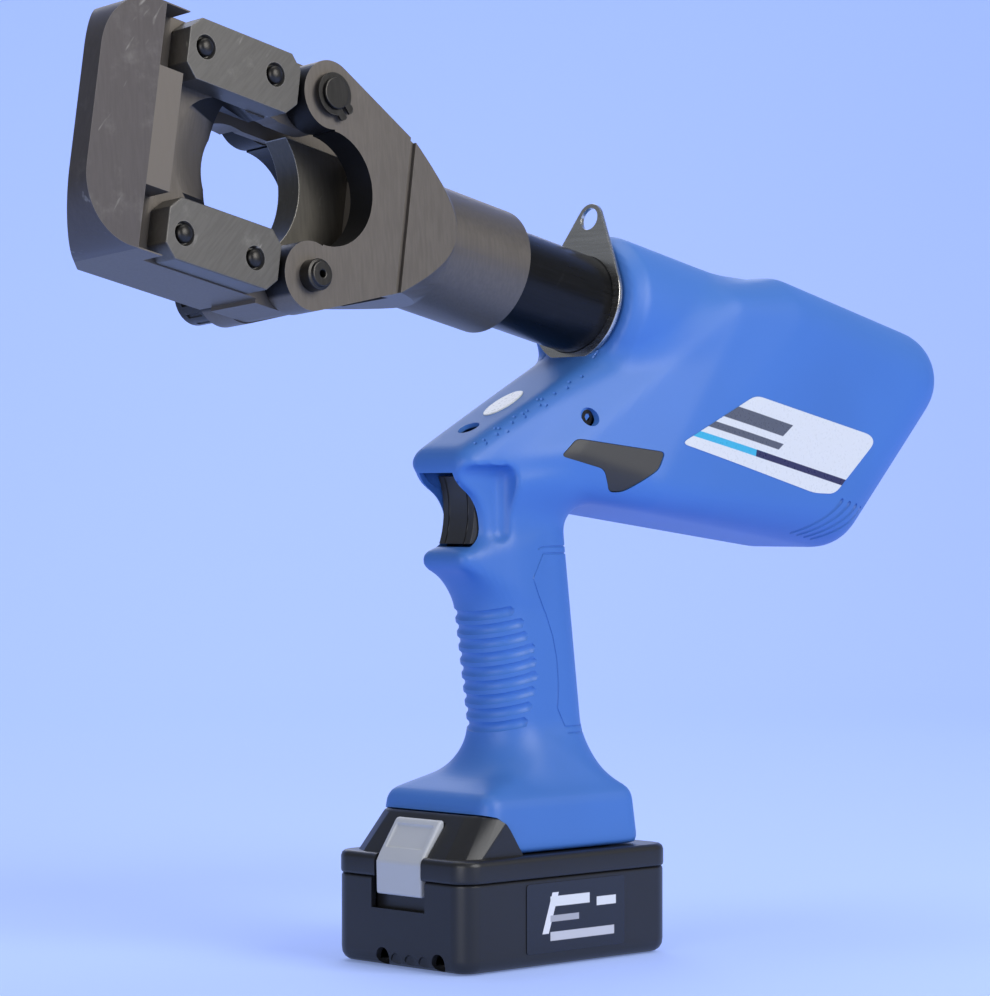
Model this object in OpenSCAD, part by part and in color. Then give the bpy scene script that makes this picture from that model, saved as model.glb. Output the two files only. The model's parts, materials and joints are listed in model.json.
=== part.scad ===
// Battery-powered hydraulic cutter: a pistol-grip housing with a slide-on battery,
// a swivelling cylinder and yoke, a latched cutting head and a ram-driven blade.
// World frame: nose towards -X, left (trigger side button) towards -Y, +Z up,
// origin at the centre of the battery's bottom face.
// Barrel frame: x runs rearward along the cylinder's axis, z points up from it.
// Head frame: the barrel frame turned about its x by the head's roll.

/* [Barrel] */
// Height of the barrel axis above the resting face, at the datum point
axis_z = 279; // [270:1:300]
// Place of the datum point along X
axis_x = -27; // [-32:1:-22]
// Tilt of the barrel, nose up
tilt = 12.2; // [8:0.1:15]
// Turn of the swivelling head about the barrel at rest
roll = 5; // [-10:0.5:10]
// Outer radius of the cylinder tube
tube_r = 20.5; // [19.5:0.5:21.5]
// Wall of the cylinder tube
tube_wall = 5; // [4:0.5:6.5]
// Radius of the ram's rod
rod_r = 11; // [9:0.5:12]
// Stroke of the ram
stroke = 52; // [40:1:54]

/* [Head] */
// Overall thickness of the yoke
yoke_t = 51; // [44:1:56]
// Width of the slot between the fork plates
slot_w = 26; // [24:1:30]
// Half distance between the two head pins
pin_v = 35.5; // [34:0.5:38]
// Radius of the head pins
pin_r = 6; // [5:0.5:7]
// Wall of the yoke's ears around the pins
ear_wall = 7.2; // [6:0.2:9]
// Length of the front frame
frame_len = 93; // [88:1:104]
// Half height of the front frame
frame_h = 46.5; // [46:0.5:52]
// Radius of the front frame's corners
frame_corner = 24; // [16:1:30]
// Radius of the jaw opening
jaw_r = 22; // [20:0.5:22.5]
// Thickness of the blades
blade_t = 9; // [8:0.5:10]
// Travel of the latch pin
pin_pull = 46; // [42:1:50]

/* [Housing] */
// Half width of the rear body
body_w = 38; // [36:1:44]
// Wall of the housing
wall = 3; // [2.5:0.5:4]
// Outer radius of the front sleeve
sleeve_r = 32; // [31:0.5:36]
// Half width of the sloping nose
nose_w = 18; // [15:1:20]
// Half width of the grip
grip_w = 17.5; // [16:0.5:19]
// Travel of the trigger
trigger_pull = 6; // [4:0.5:7]
// Travel of the release button
release_press = 2.5; // [1.5:0.5:3]

/* [Battery] */
// Length of the battery
pack_l = 116.5; // [112:0.5:124]
// Width of the battery
pack_w = 77.5; // [74:0.5:82]
// Height of the battery's rim, under the housing's foot
rim_z = 44; // [43:0.5:47]
// Height of the seam between the battery's cases
seam_z = 35; // [32:0.5:36]
// Wall of the battery's cases
case_t = 2.5; // [2:0.1:3]
// Length of the slide-off travel
slide_off = 80; // [74:1:90]

/* [Drive] */
// Module of the gears
gear_m = 0.8; // [0.7:0.05:0.85]
// Teeth on the motor pinion
pinion_z = 12; // [11:1:13]
// Teeth on the drive gear
wheel_z = 48; // [42:1:48]
// Throw of the eccentric
throw = 1.5; // [1:0.1:2]

/* [Clearances] */
// Running clearance of pins, rods and shafts, on the radius
run_c = 0.05; // [0.02:0.01:0.08]
// Gap between pieces that move past each other
gap = 0.4; // [0.3:0.05:0.5]

/* [Hidden] */
$fn = 64;

// Colours
blue = [0.20, 0.42, 0.80];
dark = [0.20, 0.20, 0.21];
black = [0.06, 0.06, 0.07];
pale = [0.80, 0.81, 0.83];
steel = [0.36, 0.34, 0.32];
bright = [0.62, 0.60, 0.57];
copper = [0.72, 0.45, 0.25];
board = [0.08, 0.35, 0.20];

// Head, along the barrel frame's x
yoke_h = yoke_t / 2;
slot_h = slot_w / 2;
pin_u = -95.5;
ear_r = pin_r + ear_wall;
collar_front = -24;
collar_back = 17;
cone_end = -50;
cone_top = 30;
slot_floor = -45;
throat_u = -91.5;
throat_r = pin_v - ear_r;
frame_back = pin_u - ear_r - 1.3;
frame_front = frame_back - frame_len;
frame_near = -24;
frame_far = 20;
knuckle_r = ear_r - 0.5;
knuckle_h = slot_h - 0.3;
shear_y = -4;
blade_near = shear_y - blade_t;
moving_t = 12;
moving_near = shear_y + 0.3;
moving_far = moving_near + moving_t;
cheek_y = moving_far + gap;
jaw_u = frame_back - 4;
bevel_u = jaw_u - 20;
bevel_r = jaw_r + 1.8;
step_u = frame_back - 55;
edge_r = 30;
edge_u = -87.5;
blade_half = jaw_r;
edge_sag = edge_r - sqrt(edge_r * edge_r - blade_half * blade_half);
tip_u = edge_u - edge_sag - stroke;
swing_r = norm([tip_u - pin_u, blade_half + pin_v]) + 1.5;
plate_in = jaw_r + 0.5;
plate_out = frame_h - 0.5;
plate_cut = 5;
plate_front = frame_back - 54;
screw_us = [plate_front + 8, frame_back - 12];
screw_v = (plate_in + plate_out) / 2 + 1.3;
insert_h = screw_v - 5.5;

// Cylinder and ram
bore_r = tube_r - tube_wall;
tube_front = -15;
tube_back = 150;
spring_seat = -10;
piston_front = 118;
piston_back = 136;
ram_tip = -58;
holder_front = -64;
holder_back = -50;
piston_r = bore_r - run_c;

// Pump and drive
block_r = sleeve_r - wall - 1.5;
block_front = 92;
cam_v = -gear_m * (pinion_z + wheel_z) / 2;
block_back = 184;
case_back = 196;
can_back = 240;
can_r = 19;
shaft_r = 5;
cam_r = 7.5;
ring_r = 9.5;
cam_hole = ring_r + throw + 1.2;
plunger_r = 4;
plunger_v = cam_v + ring_r + throw + gap;
plunger_len = 18;
plunger_u = 168;
plunger_travel = 2 * throw;

// Housing, in the barrel frame: [u, v, half spread in y, radius] of each rounding ball
ball_wide = body_w - 14;
body_balls = [[16, -80, nose_w - 10, 7.5], [60, -66, body_w - 21, 12], [100, -68, ball_wide, 13],
    [134, 10, ball_wide - 1, 13], [166, 15, body_w - 20, 20], [251, 11, body_w - 23, 23],
    [213, -50, body_w - 22, 22], [132, -64, ball_wide, 14]];
// Nose, in the barrel frame: [u, v, radius], and the face that slopes from the first to the second
nose_balls = [[14, -80.5, 7], [64, -37, 6], [96, -10, 6], [96, -66, 9]];
slope_a = atan2(nose_balls[1][1] - nose_balls[0][1], nose_balls[1][0] - nose_balls[0][0]);
slope_u = nose_balls[0][0] - nose_balls[0][2] * sin(slope_a);
slope_v = nose_balls[0][1] + nose_balls[0][2] * cos(slope_a);
badge_r = 11.5;
badge_w = 6.5;
led_u = 22;
led_r = 5;
sleeve_front = 74;
ring_u = 70;
ring_t = 2;
ring_out = 24.5;
tab_v = 36.5;
tab_r = 6.5;
eye_r = 4.6;

// Grip and foot
grip_top = [-1.5, 186];
grip_low = [13, 82];
grip_half = 9.5;
foot_front = -41;
foot_back = 48;
foot_w = 34;
foot_z = rim_z + 0.3;
foot_top = 68;
deck_in = 23;
deck_out = 27.3;
deck_z = 50.2;
deck_top = 54;
deck_back = 38;
bay_top = 56.5;
trigger_w = 9;
trigger_lo = 166;
trigger_hi = 193;
trigger_front = -28;
trigger_back = -9;
release_x = [7, 57];
release_z = [187, 208];
release_deep = 9;

// Battery
cell_r = 9.2;
cell_len = 65;
cell_pitch = 2 * cell_r + 0.2;
cell_low = case_t + cell_r + 0.1;
button_w = 13;
button_drop = 5;
shoulder_z = 60;
shoulder_w = 25;

// ---- Helpers ----
module barrel() translate([axis_x, 0, axis_z]) rotate([0, tilt, 0]) children();
module head() barrel() rotate([-roll, 0, 0]) children();
module along_u(u0, u1, r, v = 0, y = 0)
    translate([u0, y, v]) rotate([0, 90, 0]) cylinder(h = u1 - u0, r = r);
module along_y(y0, y1, r, u, v)
    translate([u, y0, v]) rotate([-90, 0, 0]) cylinder(h = y1 - y0, r = r);
module tube_u(u0, u1, ro, ri, v = 0) difference() {
    along_u(u0, u1, ro, v);
    along_u(u0 - 1, u1 + 1, ri, v);
}
module block(lo, hi) translate(lo) cube(hi - lo);
module slab(y0, y1) translate([0, y1, 0]) rotate([90, 0, 0]) linear_extrude(y1 - y0) children();
module both_y() {
    children();
    mirror([0, 1, 0]) children();
}
// Straight-edged outline that is tangent to a circle at the origin and a smaller one above it
module teardrop(r0, r1, d) {
    s = (r0 - r1) / d;
    c = sqrt(1 - s * s);
    circle(r0);
    translate([0, d]) circle(r1);
    polygon([[-r0 * c, r0 * s], [r0 * c, r0 * s], [r1 * c, d + r1 * s], [-r1 * c, d + r1 * s]]);
}

// Spur gear outline with straight-sided teeth, thinned for backlash
module gear_outline(teeth, phase) {
    pitch_r = gear_m * teeth / 2;
    root = pitch_r - 1.25 * gear_m;
    tip = pitch_r + 0.8 * gear_m;
    half = 360 / teeth;
    polygon([for (k = [0 : teeth - 1], p = [[root, -0.30], [pitch_r, -0.20], [tip, -0.09],
        [tip, 0.09], [pitch_r, 0.20], [root, 0.30]])
        p[0] * [cos(phase + half * (k + p[1])), sin(phase + half * (k + p[1]))]]);
}

// Round section swept along points: sides * rings, closed at both ends
function unit(v) = v / norm(v);
function along(p, i) = unit(p[min(i + 1, len(p) - 1)] - p[max(i - 1, 0)]);
function across(d) = unit(cross(d, abs(d[1]) < 0.9 ? [0, 1, 0] : [1, 0, 0]));
module sweep(p, r, sides = 8) {
    n = len(p);
    rings = [for (i = [0 : n - 1]) let (d = along(p, i), a = across(d), b = cross(d, a))
        for (k = [0 : sides - 1]) p[i] + r * (cos(360 * k / sides) * a + sin(360 * k / sides) * b)];
    sidewalls = [for (i = [0 : n - 2], k = [0 : sides - 1])
        let (q = (k + 1) % sides, a = i * sides) each
        [[a + sides + q, a + q, a + k], [a + sides + k, a + sides + q, a + k]]];
    ends = [[for (k = [0 : sides - 1]) k], [for (k = [0 : sides - 1]) n * sides - 1 - k]];
    polyhedron(rings, concat(sidewalls, ends), convexity = 8);
}

// Coil spring along z
module coil(r, wire, length, turns, steps = 14, sides = 6)
    sweep([for (i = [0 : turns * steps])
        [r * cos(360 * i / steps), r * sin(360 * i / steps), wire + (length - 2 * wire) * i / (turns * steps)]],
        wire, sides);

// ---- Housing ----
module body_hull(inset) barrel() hull() for (b = body_balls, s = [-1, 1])
    translate([b[0], s * b[2], b[1]]) sphere(b[3] - inset, $fn = 32);

module nose_hull() barrel() hull() for (s = [-1, 1], b = nose_balls)
    translate([b[0], s * (nose_w - b[2]), b[1]]) sphere(b[2], $fn = 24);

module grip_hull(inset) hull() for (s = [-1, 1]) {
    translate([grip_top[0] + s * grip_half, 0, grip_top[1] - 1])
        cylinder(h = 2, r = grip_w - inset, $fn = 32);
    translate([grip_low[0] + s * (grip_half - 1), 0, grip_low[1] - 1])
        cylinder(h = 2, r = grip_w - 1 - inset, $fn = 32);
}

module foot_hull() hull() {
    for (x = [foot_front + 9, foot_back - 9], y = [-foot_w + 9, foot_w - 9]) {
        translate([x, y, foot_z]) cylinder(h = 12, r = 9, $fn = 24);
        translate([x, y, foot_top - 6]) sphere(7, $fn = 24);
    }
    translate([grip_low[0] - 2, 0, 80]) cylinder(h = 2, r = grip_w, $fn = 32);
}

module lip_hull() hull() {
    for (s = [-1, 1]) translate([foot_front + 10.5, s * 9, 159.5]) sphere(4.5, $fn = 24);
    translate([-5, 0, 148]) cylinder(h = 16, r = 13, $fn = 32);
}

module housing_outer() {
    body_hull(0);
    nose_hull();
    grip_hull(0);
    foot_hull();
    lip_hull();
    barrel() along_u(sleeve_front, 150, sleeve_r);
}

module housing_cavity() {
    intersection() {
        body_hull(wall);
        barrel() block([28, -60, -120], [300, 60, 60]);
    }
    barrel() along_u(sleeve_front + 4, 152, sleeve_r - wall - 1);
    grip_hull(wall);
    block([foot_front + 20, -19, bay_top + 3], [foot_back - 14, 19, foot_top + 4]);
    block([-4, -14, 170], [30, 14, 206]);
    block([14, -6, foot_top + 3], [28, 7, grip_low[1]]);
}

// Bay that the battery's deck slides into, open to the front
module battery_bay() {
    block([foot_front - 2, -deck_in - gap, foot_z - 1], [deck_back + 1, deck_in + gap, bay_top]);
    block([foot_front - 2, -deck_out - gap, deck_z - gap], [deck_back + 1, deck_out + gap, bay_top]);
    block([foot_front - 2, -shoulder_w - gap, foot_z - 1], [foot_front + 8, shoulder_w + gap, bay_top + 2.5]);
    block([6, -19, bay_top - 1], [36, 19, bay_top + 3.1]);
}

module head_clearance() barrel() {
    along_u(-40, sleeve_front + 5, tube_r + 1);
    along_u(ring_u - 1.5, ring_u + ring_t + 1.5, ring_out + 1);
}

module trigger_opening()
    block([-60, -trigger_w - 0.6, trigger_lo - 1], [20, trigger_w + 0.6, trigger_hi + 1]);

module trigger_relief() {
    for (s = [-1, 1]) block([-60, s > 0 ? trigger_w + 4 : -30, trigger_lo + 0.5],
        [-14, s > 0 ? 30 : -trigger_w - 4, trigger_hi + 3]);
    block([-60, -30, trigger_lo + 0.5], [-19, 30, trigger_hi + 3]);
}

module release_shape(grow) slab(-40, -5) polygon([
    [release_x[0] - grow, release_z[1] - 7], [release_x[0] + 8, release_z[1] + grow],
    [release_x[1] + grow, release_z[1] - 5], [release_x[1] - 4, release_z[1] - 12 - grow],
    [release_x[0] + 30, release_z[0] - grow], [release_x[0] + 24, release_z[0] - grow],
    [release_x[0] + 20, release_z[1] - 12 - grow]]);

// Screws: [x, z, y of the head's seat, side the head is on]
screws = [[23.5, 217, 22, -1], [barrel_x(222, 28), barrel_z(222, 28), 20, 1],
    [barrel_x(200, -58), barrel_z(200, -58), 30, 1], [barrel_x(108, -70), barrel_z(108, -70), 24, 1],
    [18, 100, 10, 1]];
function barrel_x(u, v) = axis_x + u * cos(tilt) + v * sin(tilt);
function barrel_z(u, v) = axis_z - u * sin(tilt) + v * cos(tilt);
screw_shank = 1.6;
screw_head = 3;

module screw_bosses() for (s = screws) along_y(-s[2] - 4, s[2] + 4, screw_shank + 3, s[0], s[1]);
module screw_holes() for (s = screws) scale([1, s[3], 1]) {
    along_y(-s[2] + 3, s[2] + 1, screw_shank, s[0], s[1]);
    along_y(s[2], 60, screw_head + 0.2, s[0], s[1]);
}

module vents() barrel() for (k = [0 : 3])
    translate([191 + 6.2 * k, 0, -60 + 1.2 * k]) rotate([0, 45, 0]) block([-1.4, -60, -12], [1.4, -20, 12]);

module label_place(side) barrel() slab(side > 0 ? body_w : -body_w - 0.35, side > 0 ? body_w + 0.35 : -body_w)
    polygon([[108, -50], [143, -23], [149, -21], [221, -21], [224, -24], [203, -48], [194, -53], [110, -53]]);

module housing_half(side) difference() {
    union() {
        difference() {
            housing_outer();
            housing_cavity();
        }
        intersection() {
            housing_outer();
            screw_bosses();
        }
    }
    translate([-200, side > 0 ? -200 : 0, -10]) cube([600, 200, 600]);
    battery_bay();
    head_clearance();
    trigger_opening();
    trigger_relief();
    screw_holes();
    if (side < 0) release_shape(gap);
    both_y() vents();
    on_slope(led_u) translate([0, 0, -12.3]) cylinder(h = 40, r = led_r);
}

// Point on the nose's sloping face, with z square to the face
module on_slope(u) barrel() translate([u, 0, slope_v + (u - slope_u) * tan(slope_a)]) rotate([0, -slope_a, 0])
    children();

module housing_left() color(blue) housing_half(-1);
module housing_right() color(blue) housing_half(1);

module housing_screws() color(dark) for (s = screws) scale([1, s[3], 1]) {
    along_y(-s[2] + 4, s[2] + 0.2, screw_shank - 0.1, s[0], s[1]);
    difference() {
        along_y(s[2] + 0.1, s[2] + 2.3, screw_head, s[0], s[1]);
        translate([s[0], s[2] + 1.2, s[1]]) rotate([-90, 0, 0]) cylinder(h = 3, r = 1.6, $fn = 6);
    }
}

module side_label_left() color(pale) label_place(-1);
module side_label_right() color(pale) label_place(1);

// Badge on the sloping nose, centred between the housing halves
module inspection_badge() color(pale) on_slope(39) intersection() {
    translate([0, 0, 0.1]) cylinder(h = 0.8, r = badge_r);
    block([-badge_r, -badge_w, -1], [badge_r, badge_w, 3]);
}

module led_lens() color(bright) on_slope(led_u) {
    translate([0, 0, -12]) cylinder(h = 7, r = led_r - gap);
    translate([0, 0, -5]) sphere(led_r - 1.5);
}

// ---- Electrics ----
module trigger_switch() color(black) {
    block([2, -7, 168], [22, 7, 194]);
    translate([trigger_back + trigger_pull + gap, 0, 180]) rotate([0, 90, 0])
        cylinder(h = 2.1 - trigger_back - trigger_pull - gap, r = 3);
}
module trigger_spring() color(bright) translate([-8.5, 0, 171.5]) rotate([0, 90, 0]) coil(2, 0.4, 10, 4, 10, 5);
module release_switch() color(black) block([release_x[0] + 34, -release_deep - 4 + release_press + gap, release_z[1] - 12],
    [release_x[0] + 42, -2, release_z[1] - 4]);
module release_spring() color(bright)
    translate([release_x[0] + 16, -release_deep - 3.8, release_z[1] - 5.5]) rotate([-90, 0, 0]) coil(2, 0.4, 8, 4, 10, 5);
module control_board() color(board) {
    block([-16, -18, 63], [26, 18, 64.6]);
    for (x = [-10, 2, 14]) block([x, -12, 64.7], [x + 8, -4, 71]);
}
module terminal_block() color(black) {
    block([6, -19, bay_top], [36, 19, bay_top + 3]);
    for (y = [-14, 0, 14]) block([10, y - 0.75, 47], [34, y + 0.75, bay_top]);
}
wire_r = 1.1;
module wire_harness() color([0.6, 0.1, 0.1]) {
    sweep([[20, -1.5, 65], [20, -1.5, 76], [11.3, -4, 90], [11, -4, 110], [12, -4, 130], [11, -4, 150], [9, -4, 167]],
        wire_r);
    sweep([[24, 4, 65], [24, 4, 76], [25.5, 4, 92], [25.5, 4, 108], [20, 4, 128], [18, 5, 150], [13, 9.8, 164],
        [12, 9.8, 197], [30, 10, 207], [60, 12, 208]], wire_r);
}

// ---- Drive, in the barrel frame ----
module motor_can() color(bright) barrel() difference() {
    union() {
        along_u(case_back + gap, can_back, can_r);
        along_u(can_back, can_back + 3, 6);
    }
    along_u(case_back + 2, can_back - 2, can_r - 1.5);
    along_u(case_back - 1, can_back + 4, shaft_r - 2 + run_c);
}
module motor_rotor() color(copper) barrel() {
    along_u(block_back + 2, can_back + 2, shaft_r - 2);
    difference() {
        along_u(case_back + 5, can_back - 12, can_r - 4);
        along_u(case_back, can_back, shaft_r - 2);
        for (k = [0 : 4]) rotate([72 * k, 0, 0]) block([case_back, -1, 9], [can_back, 1, 20]);
    }
}
module cooling_fan() color(black) barrel() difference() {
    union() {
        along_u(can_back - 10, can_back - 4, 6);
        for (k = [0 : 6]) rotate([360 / 7 * k, 0, 0])
            translate([can_back - 10, -0.8, 4]) cube([6, 1.6, can_r - 7]);
    }
    along_u(can_back - 11, can_back, shaft_r - 2);
}
module gear_at(u0, u1, v, teeth, phase, hole) translate([0, 0, v]) difference() {
    translate([u0, 0, 0]) rotate([90, 0, 90]) linear_extrude(u1 - u0) gear_outline(teeth, phase);
    along_u(u0 - 1, u1 + 1, hole);
}
module motor_pinion() color(bright) barrel()
    gear_at(block_back + 3, case_back - 3.5, 0, pinion_z, -90, shaft_r - 2);
module drive_gear() color(steel) barrel()
    gear_at(block_back + 3.2, case_back - 3.8, cam_v, wheel_z, 90 + 180 / wheel_z, shaft_r);
module gearbox_case() color(bright) barrel() {
    reach = gear_m * (wheel_z / 2 + 0.8) + 1;
    difference() {
        block([block_back, -reach - 2, cam_v - reach - 2], [case_back, reach + 2, 13]);
        block([block_back - 1, -reach, cam_v - reach], [case_back - 2.5, reach, 11]);
        along_u(case_back - 4, case_back + 1, shaft_r - 2 + 0.5);
    }
}
module camshaft() color(bright) barrel() {
    along_u(151, case_back - 3.4, shaft_r, cam_v);
    along_u(162, 174, cam_r, cam_v - throw);
}
module cam_bearing() color(steel) barrel() tube_u(163, 173, ring_r, cam_r, cam_v - throw);
module cam_bushes() color(copper) barrel() {
    tube_u(152, 157, shaft_r + 3, shaft_r + run_c, cam_v);
    tube_u(block_back - 5, block_back, shaft_r + 3, shaft_r + run_c, cam_v);
}
module pump_block() color(bright) barrel() difference() {
    union() {
        along_u(block_front, tube_back + 2, block_r);
        block([tube_back, -19, cam_v - 15], [block_back, 19, 19]);
    }
    along_u(block_front - 1, tube_back, tube_r + run_c);
    along_u(158, block_back - 6, cam_hole, cam_v);
    along_u(tube_back + 1, block_back + 1, shaft_r + 3, cam_v);
    translate([plunger_u, 0, cam_v]) cylinder(h = 60, r = plunger_r + run_c);
    block([block_back - 3, -8, -8], [block_back + 1, 8, 8]);
    translate([160, 0, 12]) cylinder(h = 20, r = 4);
}
module pump_plunger() color(steel) barrel()
    translate([plunger_u, 0, plunger_v]) cylinder(h = plunger_len, r = plunger_r);
module plunger_spring() color(bright) barrel()
    translate([plunger_u, 0, plunger_v + plunger_len + 0.2]) coil(2.6, 0.5, 10, 4, 10, 5);
module relief_valve() color(steel) barrel() translate([160, 0, 12]) {
    cylinder(h = 8, r = 4);
    translate([0, 0, 7.2]) cylinder(h = 4, r = 5.5, $fn = 6);
}
module oil_bladder() color(black) barrel() difference() {
    block([140, -24, -66], [184, 24, cam_v - 20]);
    block([142, -22, -64], [182, 22, cam_v - 22]);
}

// ---- Cylinder and yoke, in the head's frame ----
module cylinder_tube() color(black) head() difference() {
    along_u(tube_front, tube_back - 0.5, tube_r);
    along_u(spring_seat, tube_back - 4, bore_r);
    along_u(tube_front - 1, spring_seat + 1, rod_r + 1);
}
module yoke_outline() {
    s = (pin_v - cone_top) / norm([pin_u - cone_end, pin_v - cone_top]);
    for (m = [-1, 1]) translate([pin_u, m * pin_v]) circle(ear_r);
    a = ear_tangent();
    polygon([[collar_front, -yoke_h], [collar_front, yoke_h], [cone_end, cone_top], a,
        [pin_u, pin_v], [throat_u, pin_v - 1], [throat_u, 1 - pin_v], [pin_u, -pin_v],
        [a[0], -a[1]], [cone_end, -cone_top]]);
}
// Point where the fork's straight edge meets the ear
function ear_tangent() = let (d = [cone_end - pin_u, cone_top - pin_v], l = norm(d),
    base = atan2(d[1], d[0]), turn = acos(ear_r / l))
    [pin_u + ear_r * cos(base + turn), pin_v + ear_r * sin(base + turn)];
module yoke() color(steel) head() difference() {
    union() {
        along_u(collar_front, collar_back, yoke_h);
        intersection() {
            slab(-yoke_h, yoke_h) yoke_outline();
            rotate([0, 90, 0]) rotate_extrude() polygon([[0, collar_front + 1], [yoke_h, collar_front + 1],
                [yoke_h, collar_front], [39.4, cone_end], [62, -62], [62, -115], [0, -115]]);
        }
    }
    slab(-yoke_h - 1, yoke_h + 1) {
        translate([throat_u, 0]) circle(throat_r);
        translate([throat_u - 40, -throat_r]) square([40, 2 * throat_r]);
    }
    block([-120, -slot_h, -60], [slot_floor, slot_h, 60]);
    for (v = [-pin_v, pin_v]) along_y(-40, 40, pin_r + run_c, pin_u, v);
    along_u(slot_floor - 1, collar_back, rod_r + run_c);
    along_u(slot_floor - 1, slot_floor + 4, rod_r + 3);
    along_u(tube_front, collar_back + 1, tube_r);
    both_y() block([cone_end - 2.9, yoke_h - 1.5, -60], [cone_end - 0.1, yoke_h + 1, 60]);
}
module hinge_pin() color(steel) head() difference() {
    along_y(-yoke_h - 4, yoke_h + 4, pin_r, pin_u, pin_v);
    for (y = [-yoke_h - 2.6, yoke_h + 1.2]) difference() {
        along_y(y, y + 1.4, pin_r + 1, pin_u, pin_v);
        along_y(y - 1, y + 3, pin_r - 1, pin_u, pin_v);
    }
}
module hinge_circlips() color(dark) head() for (y = [-yoke_h - 2.5, yoke_h + 1.3]) difference() {
    union() {
        along_y(y, y + 1.2, pin_r + 2.2, pin_u, pin_v);
        for (a = [-14, 14]) translate([pin_u, 0, pin_v]) rotate([0, 40 + a, 0])
            along_y(y, y + 1.2, 2, pin_r + 2.6, 0);
    }
    along_y(y - 1, y + 3, pin_r - 1, pin_u, pin_v);
    translate([pin_u, 0, pin_v]) rotate([0, 40, 0]) block([0, y - 1, -1], [14, y + 3, 1]);
}
module ram_spring() color(bright) head() translate([spring_seat, 0, 0]) rotate([0, 90, 0])
    coil(rod_r + 2.3, 1.3, piston_front - spring_seat, 11, 14, 6);
module rod_wiper() color(black) head() tube_u(slot_floor, slot_floor + 4, rod_r + 3, rod_r + run_c);

// ---- Latched head, in the head's frame ----
module frame_outline() {
    for (s = [-1, 1]) {
        translate([frame_front + frame_corner, s * (frame_h - frame_corner)]) circle(frame_corner);
    }
    translate([frame_front + frame_corner, -frame_h]) square([frame_len - frame_corner, 2 * frame_h]);
    translate([frame_front, frame_corner - frame_h]) square([frame_corner, 2 * (frame_h - frame_corner)]);
}
module knuckle_outline() for (s = [-1, 1]) {
    translate([pin_u, s * pin_v]) circle(knuckle_r);
    translate([frame_back - 0.5, s * pin_v - knuckle_r]) square([pin_u - frame_back + 0.5, 2 * knuckle_r]);
}
module jaw_cut() {
    slab(-60, 60) {
        translate([jaw_u, 0]) circle(jaw_r + 1.4);
        translate([jaw_u, -jaw_r - 0.4]) square([60, 2 * jaw_r + 0.8]);
    }
}
module insert_outline(grow) translate([step_u + 2 - grow, -insert_h - grow])
    square([frame_back - step_u - 8 + 2 * grow, 2 * (insert_h + grow)]);
module plate_outline(grow) {
    c = plate_cut;
    polygon([[plate_front - grow, plate_in + c], [plate_front + c, plate_in - grow],
        [frame_back - c, plate_in - grow], [frame_back + grow, plate_in + c],
        [frame_back + grow, plate_out - c], [frame_back - c, plate_out + grow],
        [plate_front + c, plate_out + grow], [plate_front - grow, plate_out - c]]);
}
// Room that the lower knuckle needs to swing off the latch pin
module latch_mouth() translate([pin_u, 0, pin_v]) {
    for (a = [0 : 4 : 24]) rotate([0, -a, 0]) along_y(-60, 60, pin_r + 0.15, 0, -2 * pin_v);
}
module front_frame() color(steel) head() difference() {
    union() {
        slab(frame_near, frame_far) frame_outline();
        slab(-knuckle_h, knuckle_h) knuckle_outline();
    }
    translate([pin_u, 0, pin_v]) slab(shear_y, cheek_y) circle(swing_r);
    jaw_cut();
    slab(frame_near - 1, blade_near) translate([step_u, -frame_h - 1]) square([frame_back - step_u + 1, 2 * frame_h + 2]);
    for (s = [-1, 1]) scale([1, 1, s]) intersection() {
        translate([step_u, frame_near, 0]) cylinder(h = 90, r = blade_near - frame_near);
        block([step_u - 20, frame_near - 1, plate_in], [step_u + 1, 0, plate_out]);
    }
    slab(blade_near - 1, shear_y + 1) insert_outline(0.05);
    along_y(-60, 60, pin_r + run_c, pin_u, pin_v);
    latch_mouth();
    for (u = screw_us, s = [-1, 1]) along_y(blade_near - 1, shear_y + 1, 2.5, u, s * screw_v);
    translate([frame_front, 10 + frame_near, 0]) rotate([0, 0, 45]) block([-40, 0, -60], [90, 60, 60]);
}
module fixed_blade() color([0.45, 0.42, 0.38]) head() difference() {
    slab(blade_near, shear_y) insert_outline(0);
    hull() {
        slab(blade_near - 0.1, blade_near) translate([bevel_u, 0]) circle(bevel_r);
        slab(shear_y, shear_y + 0.1) translate([jaw_u, 0]) circle(jaw_r);
    }
    slab(-60, 60) translate([bevel_u, -jaw_r]) square([80, 2 * jaw_r]);
    jaw_rear();
}
module jaw_rear() slab(-60, 60) translate([jaw_u, 0]) circle(jaw_r);
module guide_plate(s) color(bright) head() scale([1, 1, s]) difference() {
    slab(frame_near, blade_near) plate_outline(0);
    for (u = screw_us) along_y(-60, 60, 2.55, u, screw_v);
}
module guide_plate_upper() guide_plate(1);
module guide_plate_lower() guide_plate(-1);
module plate_screws() color(dark) head() for (u = screw_us, s = [-1, 1]) difference() {
    union() {
        along_y(frame_near, shear_y - 0.5, 2.45, u, s * screw_v);
        along_y(frame_near - 1.8, frame_near, 4.6, u, s * screw_v);
    }
    translate([u, frame_near - 2, s * screw_v]) rotate([-90, 0, 0]) cylinder(h = 3, r = 1.7, $fn = 6);
}
module latch_pin() color(steel) head() difference() {
    union() {
        along_y(-yoke_h - 5, yoke_h + 12, pin_r, pin_u, -pin_v);
        along_y(-yoke_h - 6.5, -yoke_h - 5, pin_r - 1.2, pin_u, -pin_v);
    }
    along_y(-yoke_h - 8, -yoke_h - 3, 1.4, pin_u, -pin_v);
}
module latch_knob() color(dark) head() difference() {
    along_y(yoke_h + 2, yoke_h + 16, pin_r + 4.5, pin_u, -pin_v);
    along_y(yoke_h + 1, yoke_h + 12, pin_r, pin_u, -pin_v);
    for (k = [0 : 11]) translate([pin_u, 0, -pin_v]) rotate([0, 30 * k, 0])
        along_y(yoke_h + 5, yoke_h + 13, 1.1, pin_r + 4.9, 0);
}

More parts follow.
